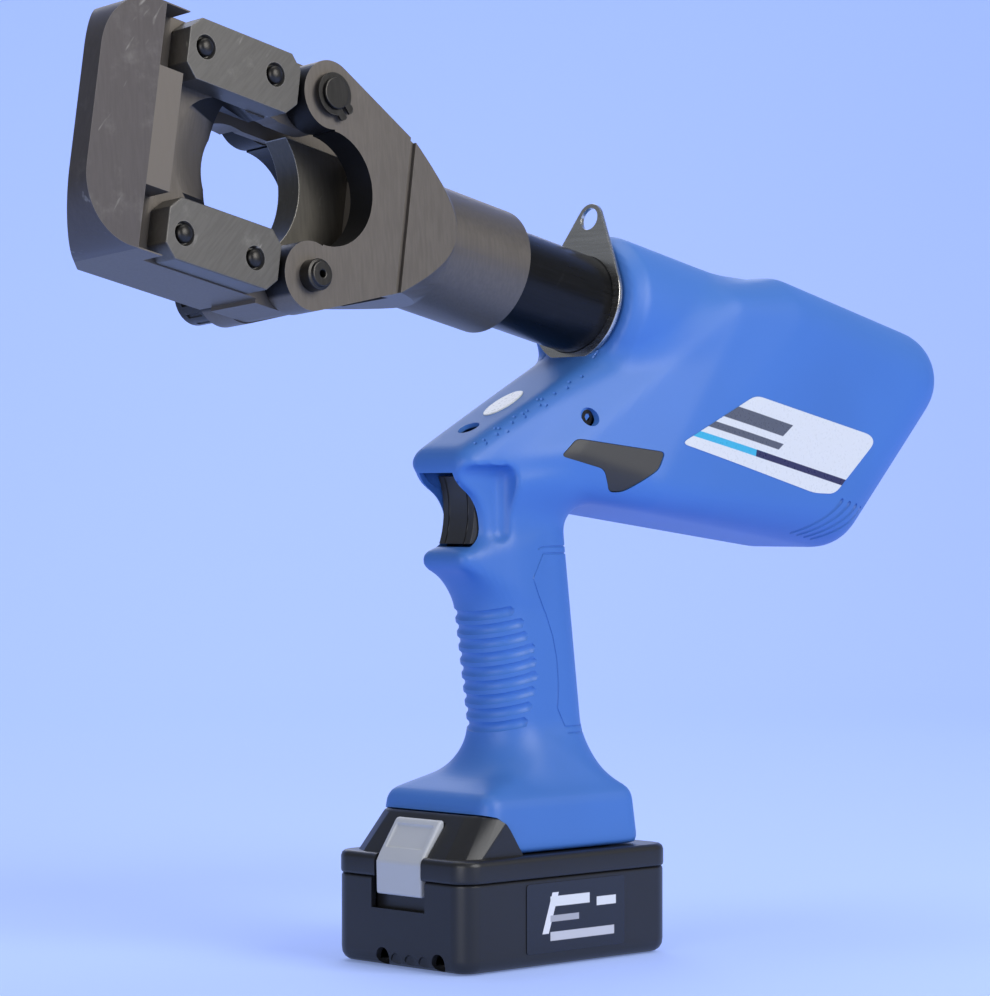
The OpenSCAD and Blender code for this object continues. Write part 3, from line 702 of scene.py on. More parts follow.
# ---- Signed distances, for the moulded shapes ----
class Field:
    """Signed distances on a grid, negative inside, in which shapes join with a fillet."""

    FAR = 99.0
    SLIVER = 0.05

    def __init__(self, low: Sequence[float], high: Sequence[float], step: float) -> None:
        """Lays out the grid.

        Args:
            low: its lowest corner in millimetres.
            high: its highest corner.
            step: its spacing.
        """
        self.low, self.step = np.array(low, float), step
        self.lines = [np.arange(a, b + step, step, dtype=np.float32) for a, b in zip(low, high)]
        self.values = np.full([len(line) for line in self.lines], self.FAR, np.float32)

    def hull(self, points: np.ndarray, pad: float = 16.0) -> np.ndarray:
        """Distances from the convex solid round some points, less its slivers' unsure planes.

        Args:
            points: its points in the tool's frame.
            pad: how far round it the distances are worked out.

        Returns:
            A grid of distances.
        """
        solid = hull_object("hull", points)
        planes = {}
        corners = [vertex.co for vertex in solid.data.vertices]
        for face in solid.data.polygons:
            ends = [corners[k] for k in face.vertices]
            longest = max((a - b).length for a, b in zip(ends, ends[1:] + ends[:1]))
            if face.area < self.SLIVER * MM * longest:
                continue
            normal = tuple(round(value, 3) for value in face.normal)
            planes.setdefault(normal, (*face.normal, -face.normal.dot(face.center) / MM))
        bpy.data.objects.remove(solid)
        planes = np.array(list(planes.values()), np.float32)
        made = np.full(self.values.shape, self.FAR, np.float32)
        spans = [slice(*np.searchsorted(line, (points[:, k].min() - pad, points[:, k].max() + pad)))
                 for k, line in enumerate(self.lines)]
        xs, ys, zs = (line[span] for line, span in zip(self.lines, spans))
        for i, x in enumerate(xs):
            flat = planes[:, 0] * x + planes[:, 3]
            rows = ys[:, None] * planes[:, 1] + flat
            part = rows[:, None, :] + zs[None, :, None] * planes[:, 2]
            made[spans[0].start + i, spans[1], spans[2]] = part.max(2)
        return made

    def box(self, low: Sequence[float], high: Sequence[float], radius: float) -> np.ndarray:
        """Distances from a box with rounded edges.

        Args:
            low: its lowest corner.
            high: its highest corner.
            radius: rounding of its edges.

        Returns:
            A grid of distances.
        """
        away = [np.maximum(a + radius - line, line - b + radius) for a, b, line in zip(low, high, self.lines)]
        grid = np.meshgrid(*away, indexing="ij", sparse=True)
        outside = np.sqrt(sum(np.maximum(part, 0) ** 2 for part in grid))
        inside = np.minimum(np.maximum(np.maximum(grid[0], grid[1]), grid[2]), 0)
        return (outside + inside - radius).astype(np.float32)

    def join(self, other: np.ndarray, radius: float) -> None:
        """Adds a shape, with a fillet where it meets what is there."""
        a, b = self.values, other
        corner = np.sqrt(np.maximum(radius - a, 0) ** 2 + np.maximum(radius - b, 0) ** 2)
        self.values = np.maximum(radius, np.minimum(a, b)) - corner

    def remove(self, other: np.ndarray, radius: float) -> None:
        """Takes a shape away, with rounded edges."""
        a, b = self.values, -other
        corner = np.sqrt(np.maximum(radius + a, 0) ** 2 + np.maximum(radius + b, 0) ** 2)
        self.values = np.minimum(-radius, np.maximum(a, b)) + corner

    def settle(self) -> None:
        """Replaces each distance by the middle one of its neighbourhood, which clears lone bad values."""
        a, b, c = self.values.shape
        shifts = [self.values[i:a - 2 + i, j:b - 2 + j, k:c - 2 + k]
                  for i in range(3) for j in range(3) for k in range(3)]
        middle = np.median(np.stack(shifts), axis=0)
        centre = self.values[1:-1, 1:-1, 1:-1]
        bad = np.abs(centre - middle) > 0.3 * self.step
        centre[bad] = middle[bad]

    def soften(self, passes: int) -> None:
        """Blurs the distances a little, which leaves flats where they are."""
        for _ in range(passes):
            for axis in range(3):
                padded = np.take(self.values, [0] + list(range(self.values.shape[axis])) + [-1], axis)
                count = self.values.shape[axis]
                near, mid, far = (np.take(padded, range(k, k + count), axis) for k in range(3))
                self.values = 0.25 * near + 0.5 * mid + 0.25 * far

    def skin(self, name: str, values: np.ndarray) -> bpy.types.Object:
        """Surface where the distances pass zero.

        Args:
            name: the object's name.
            values: a grid of distances.

        Returns:
            A closed mesh of quads.
        """
        values = values.copy()
        for edge in (0, -1):
            values[edge], values[:, edge], values[:, :, edge] = (np.maximum(part, self.step) for part in (
                values[edge], values[:, edge], values[:, :, edge]))
        inside = values < 0
        count = sum(inside[i:i - 1 or None, j:j - 1 or None, k:k - 1 or None].astype(np.int8)
                    for i in (0, 1) for j in (0, 1) for k in (0, 1))
        live = (count > 0) & (count < 8)
        cells = np.argwhere(live)
        number = np.full(live.shape, -1)
        number[live] = np.arange(len(cells))
        total, hits = np.zeros((len(cells), 3)), np.zeros(len(cells))
        for axis in range(3):
            for a, b in ((0, 0), (0, 1), (1, 0), (1, 1)):
                start = np.insert([a, b], axis, 0)
                end = np.insert([a, b], axis, 1)
                first, last = values[tuple((cells + start).T)], values[tuple((cells + end).T)]
                cross = (first < 0) != (last < 0)
                share = first[cross] / (first[cross] - last[cross])
                total[cross] += start + share[:, None] * (end - start)
                hits[cross] += 1
        points = self.low + self.step * (cells + total / hits[:, None])
        quads = []
        for axis in range(3):
            b, c = np.eye(3, dtype=int)[[(axis + 1) % 3, (axis + 2) % 3]]
            first = np.take(inside, range(inside.shape[axis] - 1), axis)
            last = np.take(inside, range(1, inside.shape[axis]), axis)
            edges = np.argwhere(first != last)
            edges = edges[(edges @ b > 0) & (edges @ c > 0) & (edges @ b < number.shape[(axis + 1) % 3])
                          & (edges @ c < number.shape[(axis + 2) % 3])]
            four = np.stack([number[tuple(e.T)] for e in (edges, edges - b, edges - b - c, edges - c)], 1)
            out = first[tuple(edges.T)]
            quads.append(np.where(out[:, None], four, four[:, ::-1]))
        return mesh_object(name, points, np.vstack(quads))


class Surface:
    """An object's skin, on which lines and places are found by looking along a direction."""

    def __init__(self, made: bpy.types.Object) -> None:
        """Reads the object's mesh."""
        self.tree = BVHTree.FromPolygons([v.co / MM for v in made.data.vertices],
                                         [list(p.vertices) for p in made.data.polygons])

    def drop(self, start: Sequence[float], way: Sequence[float], lift: float = 0.0) -> np.ndarray | None:
        """Point where a ray meets the skin, raised off it.

        Args:
            start: where the ray starts.
            way: its direction.
            lift: distance off the skin, along its normal.

        Returns:
            The point, or None when the ray misses.
        """
        place, normal, _, _ = self.tree.ray_cast(Vector(start), Vector(way))
        return None if place is None else np.array(place + normal * lift)

    def line(self, starts: Iterable[Sequence[float]], way: Sequence[float], lift: float = 0.0) -> np.ndarray:
        """Path of the points where parallel rays meet the skin."""
        found = [self.drop(start, way, lift) for start in starts]
        return np.array([point for point in found if point is not None])


# ---- Sub-assemblies ----
class Piece:
    """Shared work of the sub-assemblies: finishing and placing their pieces, and hiding the CAD nodes they
    replace.
    """

    body = "housing"

    def place(self, made: bpy.types.Object, finish: bpy.types.Material, slot: str, *nodes: str,
              body: str = "") -> bpy.types.Object:
        """Dresses a piece, hides the CAD nodes that it replaces and puts it on its body.

        Args:
            made: the piece.
            finish: its material.
            slot: the record's material slot; not used.
            nodes: the CAD nodes that it replaces.
            body: the body it rides on, the sub-assembly's own by default.

        Returns:
            The piece.
        """
        made.data.materials.clear()
        made.data.materials.append(finish)
        if nodes:
            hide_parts(*nodes)
        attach(made, body or self.body)
        log.info("%s: %d faces", made.name, len(made.data.polygons))
        return made


@dataclass
class Housing(Piece):
    """Two moulded halves with the nose, sleeve, grip and foot blended into one skin."""

    finishes: dict[str, bpy.types.Material]
    step: float = 1.2
    wall: float = 2.6
    nose_width: float = 18.0
    grip_radius: float = 17.5
    grip_half: float = 9.5
    grip_top: tuple[float, float] = (-1.5, 186.0)
    grip_low: tuple[float, float] = (13.0, 82.0)
    sleeve_radius: float = 32.0
    neck_radius: float = 21.6
    foot_half: float = 34.0
    foot_front: float = -41.0
    foot_back: float = 48.0
    foot_floor: float = 44.4
    foot_top: float = 68.0
    trigger_half: float = 9.6
    body_balls: tuple[tuple[float, ...], ...] = (
        (16, -80, 8, 7.5), (60, -66, 17, 12), (100, -68, 24, 13), (134, 10, 23, 13),
        (166, 15, 18, 20), (251, 11, 15, 23), (213, -50, 16, 22), (132, -64, 24, 14))
    nose_balls: tuple[tuple[float, ...], ...] = ((14, -80.5, 7), (64, -37, 6), (96, -10, 6), (96, -66, 9))
    release: tuple[tuple[float, float], ...] = (
        (7, 201), (15, 208), (57, 203), (53, 196), (37, 187), (31, 187), (27, 196))
    label: tuple[tuple[float, float], ...] = (
        (106, -51), (145, -21.5), (221, -21), (224, -24), (203, -51), (190, -53.5))
    near_screw: tuple[float, float] = (23.0, 217.0)
    far_screws: tuple[tuple[float, float], ...] = ((222, 28), (200, -58), (108, -70))
    grip_screw: tuple[float, float] = (18.0, 100.0)
    rib_count: int = 9
    rib_pitch: float = 5.6
    rib_radius: float = 2.4
    rib_depth: float = 1.1
    vent_count: int = 4
    vent_pitch: float = 5.2

    def grip_axis(self, z: float) -> float:
        """Place of the grip's axis along X at a height."""
        share = (z - self.grip_low[1]) / (self.grip_top[1] - self.grip_low[1])
        return self.grip_low[0] + share * (self.grip_top[0] - self.grip_low[0])

    def shape(self) -> Field:
        """Blends the moulding's masses together.

        Returns:
            Distances from the near half's outer skin, past the seam on its far side.
        """
        field = Field((-52, -44, 38), (252, 4, 304), self.step)
        sides = (-1, 1)
        body = np.vstack([ball((u, s * y, v), r) for u, v, y, r in self.body_balls for s in sides])
        field.join(field.hull(BARREL.world(body)), 1.0)
        nose = np.vstack([ball((u, s * (self.nose_width - r), v), r)
                          for u, v, r in self.nose_balls for s in sides])
        field.join(field.hull(BARREL.world(nose)), 5.0)
        front, shoulder, rear = 73.6, 80.0, 150.0
        sleeve = np.vstack([disc((u, 0, 0), radius, 0) for u, radius in (
            (front, self.sleeve_radius - 4), (shoulder, self.sleeve_radius), (rear, self.sleeve_radius))])
        field.join(field.hull(BARREL.world(sleeve)), 6.0)
        ends = ((self.grip_top, self.grip_radius), (self.grip_low, self.grip_radius - 1))
        grip = np.vstack([disc((x + s * (self.grip_half - 0.5), 0, z), r)
                          for s in sides for (x, z), r in ends])
        field.join(field.hull(grip), 13.0)
        lip = np.vstack([ball((self.foot_front + 10.5, s * 9, 159.5), 4.5) for s in sides]
                        + [disc((-5, 0, z), 13) for z in (148, 164)])
        field.join(field.hull(lip), 9.0)
        inset, crown = 9, 7
        corners = [(x, y) for x in (self.foot_front + inset, self.foot_back - inset)
                   for y in (-self.foot_half + inset, self.foot_half - inset)]
        foot = np.vstack([disc((x, y, self.foot_floor), inset) for x, y in corners]
                         + [ball((x, y, self.foot_top - crown + 1), crown) for x, y in corners]
                         + [disc((self.grip_low[0] - 2, 0, 80), self.grip_radius)])
        field.join(field.hull(foot), 16.0)
        field.settle()
        field.soften(2)
        relief = field.box((-80, -80, 166.5), (-12.5, -12.6, 197), 5.0)
        field.remove(relief, 1.5)
        return field

    def foot_cut(self, grow: float = 0.0) -> np.ndarray:
        """Side outline, in X and Z, of the foot's front corner where the battery's hump fits."""
        return np.array([(-70, 40), (-70, 60.4 + grow), (-39, 60.4 + grow), (-34.5, 59.4 + grow),
                         (-31, 57 + grow), (-28.5 + grow, 54), (-21.5 + grow, 43.5), (-21.5 + grow, 40)])

    def cutters(self, skin: Surface, near: bool) -> list[bpy.types.Object]:
        """Everything that is cut out of a half, in the near half's place; the far half is turned over later.

        Args:
            skin: the moulding's outer skin.
            near: whether it is the half with the release button.

        Returns:
            Closed cutting solids.
        """
        cuts = [
            prism("seam", rectangle((-200, 0), (400, 400)), 0, 60),
            turned("neck", [(-60, self.neck_radius), (120, self.neck_radius)], (20, 0, 0), 0, BARREL),
            prism("trigger", rectangle((-70, 164.8), (22, 194.2)), -self.trigger_half, 5),
            prism("bay", rectangle((-70, 40), (39.5, 50)), -23.4, 5),
            prism("bay_wings", rectangle((-70, 49.7), (39.5, 56.6)), -27.8, 5),
            prism("hump", self.foot_cut(), -60, 5),
            turned("light", [(-9, 4.6), (30, 4.6)], (0, 0, 0), 2, self.slope_axes(22.0)),
        ]
        cuts += [tube("rib", path, self.rib_radius) for path in self.ribs(skin)]
        cuts += [tube("line", path, 0.5, 6) for path in self.panel_lines(skin)]
        cuts += [tube("vent", path, 1.0, 8) for path in self.vent_lines(skin)]
        if near:
            cuts.append(prism("pocket", rounded(self.grown(self.release, 0.45), 2.5), -60, -8))
            x, z = self.near_screw
            cuts.append(turned("screw_hole", [(-60, 3.8), (-24, 3.8)], (x, 0, z), 1))
        else:
            for u, v in self.far_screws:
                cuts.append(turned("screw_hole", [(-60, 3.4), (-24, 3.4)], (u, 0, v), 1, BARREL))
            x, z = self.grip_screw
            cuts.append(turned("screw_hole", [(-60, 3.4), (-10, 3.4)], (x, 0, z), 1))
        return cuts

    def grown(self, corners: Sequence[tuple[float, float]], gap: float) -> np.ndarray:
        """Outline moved outward from its middle by about a gap."""
        points = np.array(corners, float)
        away = points - points.mean(0)
        return points + gap * away / np.linalg.norm(away, axis=1)[:, None]

    def slope_axes(self, u: float) -> Axes:
        """Frame on the nose's sloping face, with z square to the face."""
        (u0, v0, r0), (u1, v1, _) = self.nose_balls[:2]
        angle = math.atan2(v1 - v0, u1 - u0)
        start = (u, 0, v0 + r0 * math.cos(angle) + (u - u0 + r0 * math.sin(angle)) * math.tan(angle))
        ends = BARREL.world([start, np.add(start, (math.cos(angle), 0, math.sin(angle)))])
        return Axes(tuple(ends[0]), tuple(ends[1] - ends[0]), TOOL.y)

    def ribs(self, skin: Surface) -> list[np.ndarray]:
        """Finger grooves round the grip's front, longest at mid height."""
        paths = []
        rise, away = math.tan(math.radians(8.0)), 26.0
        for k in range(self.rib_count):
            front = 93.5 + self.rib_pitch * k
            reach = 2.3 - 0.024 * (front + 2.5 - 115) ** 2
            axis = self.grip_axis(front) - self.grip_half
            turns = np.radians(np.linspace(8, -90, 22))
            arc = [(axis - away * math.cos(turn), away * math.sin(turn)) for turn in turns]
            flat = [(x, -away) for x in np.arange(axis + 2, reach, 2.0)]
            found = []
            for x, y in [point for point in arc if point[0] < reach] + flat:
                z = front + rise * (x - axis + self.grip_radius)
                aim = (max(x, axis) - x, -y, 0.0)
                found.append(skin.drop((x, y, z), aim, self.rib_radius - self.rib_depth))
            paths.append(np.array([hit for hit in found if hit is not None]))
        return paths

    def panel_lines(self, skin: Surface) -> list[np.ndarray]:
        """Thin lines round the raised panel at the grip's rear."""
        outline = [(27, 162), (5, 162), (-1, 152), (2.5, 145), (7, 137.5), (11, 128.5), (13.5, 119),
                   (14.5, 109), (14, 99.5), (18, 92), (33, 92)]
        runs = [outline, [(27, 165), (4, 164.6), (2, 163.8)], [(34, 89.3), (16.5, 89.3)]]
        paths = []
        for run in runs:
            dense = [np.add(a, np.subtract(b, a) * t) for a, b in zip(run, run[1:])
                     for t in np.linspace(0, 1, 8)[:-1]]
            paths.append(skin.line([(x, -60.0, z) for x, z in dense], (0, 1, 0), 0.1))
        return paths

    def vent_lines(self, skin: Surface) -> list[np.ndarray]:
        """Four curved slots low on the rear of the body."""
        paths = []
        share = np.linspace(0, 1, 16)[:, None]
        bow = np.array((1.2, -1.2)) * 4 * share * (1 - share)
        for k in range(self.vent_count):
            top = np.array((166 + self.vent_pitch * k, 183.6 - 1.1 * k))
            low = np.array((143.4 + self.vent_pitch * k, 169.6 - 0.9 * k))
            line = top + (low - top) * share + bow
            paths.append(skin.line([(x, -60.0, z) for x, z in line], (0, 1, 0), -0.1))
        return paths

    def decal(self, name: str, skin: bpy.types.Object, outline: np.ndarray, axes: Axes) -> bpy.types.Object:
        """Film that follows the skin within an outline.

        Args:
            name: the piece's name.
            skin: solid whose outer face it copies.
            outline: points in the frame's x and z.
            axes: the outline's frame.

        Returns:
            The film.
        """
        made = bpy.data.objects.new(name, skin.data.copy())
        bpy.context.scene.collection.objects.link(made)
        carve(made, [prism("outline", outline, -60, -20, axes)], Cut.KEEP)
        work = bmesh.new()
        work.from_mesh(made.data)
        hidden = [face for face in work.faces if face.normal.y > -0.6]
        bmesh.ops.delete(work, geom=hidden, context="FACES")
        work.to_mesh(made.data)
        work.free()
        step = made.modifiers.new("film", "SOLIDIFY")
        step.thickness, step.offset = 0.3 * MM, -1.0
        return smooth(freeze(made), 50)

    def build(self) -> None:
        """Makes the two halves and what is set into them."""
        field = self.shape()
        outer = field.skin("outer", field.values)
        raised = field.skin("raised", field.values - 0.25)
        sunk = field.skin("sunk", field.values + 0.3)
        surface = Surface(outer)
        shell = np.maximum(field.values, -(field.values + self.wall))
        for near, name in ((True, "housing_left"), (False, "housing_right")):
            half = carve(field.skin(name + "_moulding", shell), self.cutters(surface, near))
            if not near:
                self.turn_over(half)
            self.place(smooth(half, 42), self.finishes["blue_shell"], "blue_shell", name)
        button = carve(sunk, [prism("button", rounded(self.release, 2.2), -60, -13)], Cut.KEEP)
        button.name = "release_cover"
        self.place(smooth(button, 30), self.finishes["grey_plastic"], "grey_plastic", "release_button",
                   body="release")
        for side, name in ((1, "side_film_left"), (-1, "side_film_right")):
            film = self.decal(name, raised, rounded(self.label, 4.0), BARREL)
            if side < 0:
                self.turn_over(film)
            self.place(film, self.finishes["label"], "label", name.replace("film", "label"))
        bpy.data.objects.remove(raised)
        bpy.data.objects.remove(outer)
        self.badge(surface)

    def turn_over(self, made: bpy.types.Object) -> None:
        """Mirrors a piece to the far side."""
        made.data.transform(Matrix.Scale(-1, 4, (0, 1, 0)))
        made.data.flip_normals()

    def badge(self, surface: Surface) -> None:
        """Oval badge on the nose and the lamp in its socket.

        Args:
            surface: the skin that the badge lies on.
        """
        face = self.slope_axes(38.5)
        ends = [surface.drop(start, tuple(-np.cross(face.x, face.y)))
                for start in face.world([(-8, -1, 30), (8, -1, 30)])]
        middle, run = (ends[0] + ends[1]) / 2, ends[1] - ends[0]
        axes = Axes((float(middle[0]), 0.0, float(middle[2])), tuple(run / np.linalg.norm(run)), TOOL.y)
        oval = turn_points(48) * np.array((11.0, 5.6))
        rings = [axes.world(np.insert(oval * size, 2, height, axis=1))
                 for height, size in ((-0.6, 1.0), (0.25, 1.0), (0.45, 0.96))]
        self.place(smooth(loft("badge_oval", rings)), self.finishes["badge"], "badge", "inspection_badge")
        lamp = turned("lamp_lens", [(-8.6, 4.2), (-5, 4.2), (-4, 3.6), (-3.2, 2.2), (-3, 0)], (0, 0, 0), 2,
                      self.slope_axes(22.0), 40)
        self.place(smooth(lamp), self.finishes["lens"], "lens", "led_lens")


@dataclass
class Battery(Piece):
    """Slide-on pack: two cases, the hump in front of the foot, its button and its label."""

    finishes: dict[str, bpy.types.Material]
    body: str = "battery"
    length: float = 116.5
    width: float = 77.5
    corner: float = 9.0
    wall: float = 2.6
    rim: float = 44.0
    button_half: float = 13.0

    def ring(self, inset: float, z: float) -> np.ndarray:
        """Rounded rectangle of the pack at a height.

        Args:
            inset: how far inside the full size it lies.
            z: its height.

        Returns:
            The ring's points.
        """
        x0, x1 = -self.length / 2 + inset, self.length / 2 - inset
        y, r = self.width / 2 - inset, self.corner - min(inset, 4.0)
        centres = ((x1 - r, y - r, 0), (x0 + r, y - r, 90), (x0 + r, r - y, 180), (x1 - r, r - y, 270))
        arcs = [turn_points(12, r, start, 90.001) + (cx, cy) for cx, cy, start in centres]
        return np.insert(np.vstack(arcs), 2, z, axis=1)

    def lower(self) -> None:
        """Lower case with its rounded foot, vents and the button's pocket."""
        profile = [(5.0, 0.0), (3.2, 0.4), (1.6, 1.5), (0.6, 3.2), (0.3, 5.5), (0.3, 33.6), (0.45, 34.3),
                   (0.9, 34.7)]
        made = loft("battery_lower_shell", [self.ring(inset, z) for inset, z in profile])
        front = -self.length / 2
        pocket = rounded(rectangle((front - 6, 22.6), (front + 4.6, 40)), 1)
        cuts = [loft("inside", [self.ring(self.wall, z) for z in (self.wall, 40.0)]),
                prism("pocket", pocket, -self.button_half - 2.4, self.button_half + 2.4)]
        for y in (-23.0, 9.0):
            cuts.append(turned("vent", [(-2, 4.2), (3.4, 3.2), (5.0, 2.0)], (front, y, 3.6), 0, TOOL, 24))
        for y in (-15.0, -7.0, 1.0):
            cuts.append(turned("scallop", [(-12, 5.2), (1.2, 3.4), (1.8, 1.0)], (front, y, 2.2), 0, TOOL, 24))
        back = prism("back", rectangle((front + 4.4, 20), (front + 6.4, 34.5)),
                     -self.button_half - 4, self.button_half + 4)
        carve(made, cuts)
        carve(made, [back], Cut.ADD)
        self.place(smooth(made, 30), self.finishes["black_case"], "black_case", "battery_lower_case")

    def hump(self) -> np.ndarray:
        """Points of the sloping hump in front of the foot."""
        base = [(-56.2, 24), (-52.5, 31), (-46, 33.5), (-12, 34.3)]
        top = [(-41.6, 22.5), (-38.5, 28.5), (-33.5, 32.3), (-29, 34.0), (-12, 34.2)]
        rows = [(x, y, self.rim - 2) for x, y in base] + [(x, y, 59.9) for x, y in top]
        rows.append((-42.6, 21, 59.2))
        return np.array([(x, s * y, z) for x, y, z in rows for s in (-1, 1)])

    def upper(self, foot: Housing) -> None:
        """Upper case with the rim, the hump and the rails that slide into the foot.

        Args:
            foot: the housing whose front corner the hump fills.
        """
        profile = [(0.7, 35.0), (0.2, 35.4), (0.0, 36.2), (0.0, 41.6), (0.5, 43.0), (1.6, 43.8), (2.6, 44.0)]
        made = loft("battery_upper_shell", [self.ring(inset, z) for inset, z in profile])
        hump = bevel(hull_object("hump", self.hump()), 3.4, 4, 20)
        side = foot.foot_cut(-0.45)
        side[0], side[-1] = (-90, 30), (side[-1][0], 30)
        side[1] = (-90, side[1][1])
        carve(hump, [prism("corner", side, -60, 60)], Cut.KEEP)
        deck = prism("deck", rectangle((-44, 42), (38, 54)), -22, 22)
        rails = prism("rails", rectangle((-38, 50.3), (38, 53.9)), -27.2, 27.2)
        carve(made, [hump, deck, rails], Cut.ADD)
        front = -self.length / 2
        cuts = [loft("inside", [self.ring(self.wall, z) for z in (30.0, 41.5)]),
                prism("well", rectangle((front - 8, 20), (-44.5, 70)),
                      -self.button_half - 0.5, self.button_half + 0.5),
                prism("catch", rectangle((-48, 34), (-36, 56.5)), -8.5, 8.5)]
        cuts += [prism("slot", rectangle((6, 45), (40, 60)), y - 3, y + 3) for y in (-14, 0, 14)]
        carve(made, cuts)
        self.place(bevel(made, 0.5, 2, 40), self.finishes["black_case"], "black_case", "battery_upper_case")

    def button(self) -> None:
        """Grey button with a raised rim round a shallow hollow."""
        front = -self.length / 2
        side = [(front + 0.6, 28.2), (front + 0.2, 41.2), (front + 2.2, 44.6), (-47.2, 57.6), (-44.9, 57.9),
                (-44.7, 46), (front + 4.1, 40.5), (front + 4.1, 28.2)]
        made = prism("battery_catch_button", np.array(side), -self.button_half, self.button_half)
        bevel(made, 1.0, 3, 25)
        low, high = np.array((front + 2.2, 44.6)), np.array((-47.2, 57.6))
        along = (high - low) / np.linalg.norm(high - low)
        out = np.array((-along[1], along[0]))
        corners = [low + along * 1.9 + out, high - along * 1.6 + out,
                   high - along * 2.6 - out * 0.9, low + along * 2.6 - out * 0.5]
        dish = prism("dish", np.array(corners), -self.button_half + 2.2, self.button_half - 2.2)
        carve(made, [bevel(dish, 0.8, 3, 25)])
        self.place(smooth(made, 35), self.finishes["pale_plastic"], "pale_plastic", "battery_button",
                   body="battery_button")

    def label(self) -> None:
        """Dark film on the near side with a plain printed band and bars."""
        outline = rounded([(-25, 5.5), (-25, 33), (30, 33), (30, 5.5)], 1.5)
        made = prism("battery_film", outline, -self.width / 2 - 0.05, -self.width / 2 + 0.6)
        self.place(smooth(made), self.finishes["dark_label"], "dark_label", "battery_label")

    def build(self, foot: Housing) -> None:
        """Makes the pack's pieces against the housing's foot."""
        self.lower()
        self.upper(foot)
        self.button()
        self.label()


@dataclass
class CuttingHead(Piece):
    """Yoke, latched frame, plates, pins and blades of forged and ground steel."""

    finishes: dict[str, bpy.types.Material]
    body: str = "head"
    plate_screws: tuple[tuple[float, float], ...] = ((-156.0, 35.55), (-122.0, 35.55))
    plate_face: float = -24.0
    dome: tuple[tuple[float, float], ...] = (
        (1.7, 3.5), (0.2, 3.5), (-0.7, 3.05), (-1.3, 2.1), (-1.55, 0.9), (-1.6, 0.0))
    sink: tuple[tuple[float, float], ...] = ((-1, 5.2), (1.3, 3.9), (1.9, 3.9))

    def steel(self) -> None:
        """Bevelled copies of the machined parts."""
        rows = (("yoke", "brown_steel", "head", 0.7),
                ("front_frame", "block_steel", "latch_head", 1.0),
                ("fixed_blade", "brown_steel", "latch_head", 0.35),
                ("cylinder_tube", "black_steel", "head", 0.6),
                ("moving_blade", "blade_steel", "ram", 0.25),
                ("blade_holder", "block_steel", "ram", 0.5),
                ("hinge_pin", "dark_steel", "head", 0.7),
                ("hinge_circlips", "dark_steel", "head", 0.25),
                ("latch_pin", "dark_steel", "latch_bolt", 0.9),
                ("latch_knob", "dark_steel", "latch_bolt", 0.6),
                ("hanging_ring", "stainless", "ring", 0.35))
        for node, slot, body, width in rows:
            self.place(machined(node, node + "_steel", width), self.finishes[slot], slot, node, body=body)

    def plates(self) -> None:
        """Ground guide plates with countersunk holes, and the domed screws in them."""
        domes = []
        for sign, name in ((1, "guide_plate_upper"), (-1, "guide_plate_lower")):
            made = machined(name, name + "_ground", 0.5, 3)
            places = [(u, self.plate_face, sign * v) for u, v in self.plate_screws]
            carve(made, [turned("sink", self.sink, place, 1, HEAD, 40) for place in places])
            self.place(smooth(made, 30), self.finishes["plate_steel"], "plate_steel", name, body="latch_head")
            domes += [turned("dome", self.dome, place, 1, HEAD, 36) for place in places]
        made = carve(domes[0], domes[1:], Cut.ADD)
        made.name = "plate_screw_domes"
        self.place(smooth(made, 40), self.finishes["dark_steel"], "dark_steel", "plate_screws",
                   body="latch_head")

    def build(self) -> None:
        """Makes the head's pieces."""
        self.steel()
        self.plates()


@dataclass
class Trigger(Piece):
    """Concave trigger with a fine groove along its near and far edges."""

    finishes: dict[str, bpy.types.Material]
    body: str = "trigger"
    face_centre: tuple[float, float] = (-61.0, 179.0)
    face_radius: float = 36.15
    groove_inset: float = 3.6

    def build(self) -> None:
        """Makes the trigger from its CAD solid."""
        made = machined("trigger", "trigger_blade", 0.2, 1)
        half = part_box("trigger")[1][1] / MM
        x, z = self.face_centre
        for side in (-1, 1):
            line = np.array([(x + self.face_radius * math.cos(a), side * (half - self.groove_inset),
                              z + self.face_radius * math.sin(a)) for a in np.linspace(-0.5, 0.5, 24)])
            carve(made, [tube("groove", line, 0.5, 8)])
        bevel(made, 1.4, 4, 50)
        self.place(made, self.finishes["grey_plastic"], "grey_plastic", "trigger")


# ---- Finishes by slot ----
@dataclass(frozen=True)
class Print:
    """A bar printed on a film: its corners along the film's x and z in millimetres, and its lean."""

    low: tuple[float, float]
    high: tuple[float, float]
    colour: Colour
    lean: float = 0.0


@dataclass(frozen=True)
class PrintedFilm:
    """Gloss film with plain printed bars."""

    colour: Colour
    axes: Axes
    prints: tuple[Print, ...]
    rough: float = 0.25

    def make(self, name: str) -> bpy.types.Material:
        """Builds the material."""
        paint = Paint(name)
        x = self.axes.measure(paint, self.axes.x)
        z = self.axes.measure(paint, self.axes.z)
        speck = paint.noise(900.0, 2.0)
        ink = paint.mix(speck, tuple(c * 0.95 for c in self.colour), self.colour)
        soft = 0.15
        for bar in self.prints:
            slid = x - z * bar.lean
            inside = [place.step(low - soft, low + soft) * (1.0 - place.step(high - soft, high + soft))
                      for place, low, high in zip((slid, z), bar.low, bar.high)]
            ink = paint.mix(inside[0] * inside[1], ink, bar.colour)
        paint.set(Base_Color=ink, Roughness=self.rough + speck * 0.06, Coat_Weight=0.2 + speck * 0.1)
        return paint.material


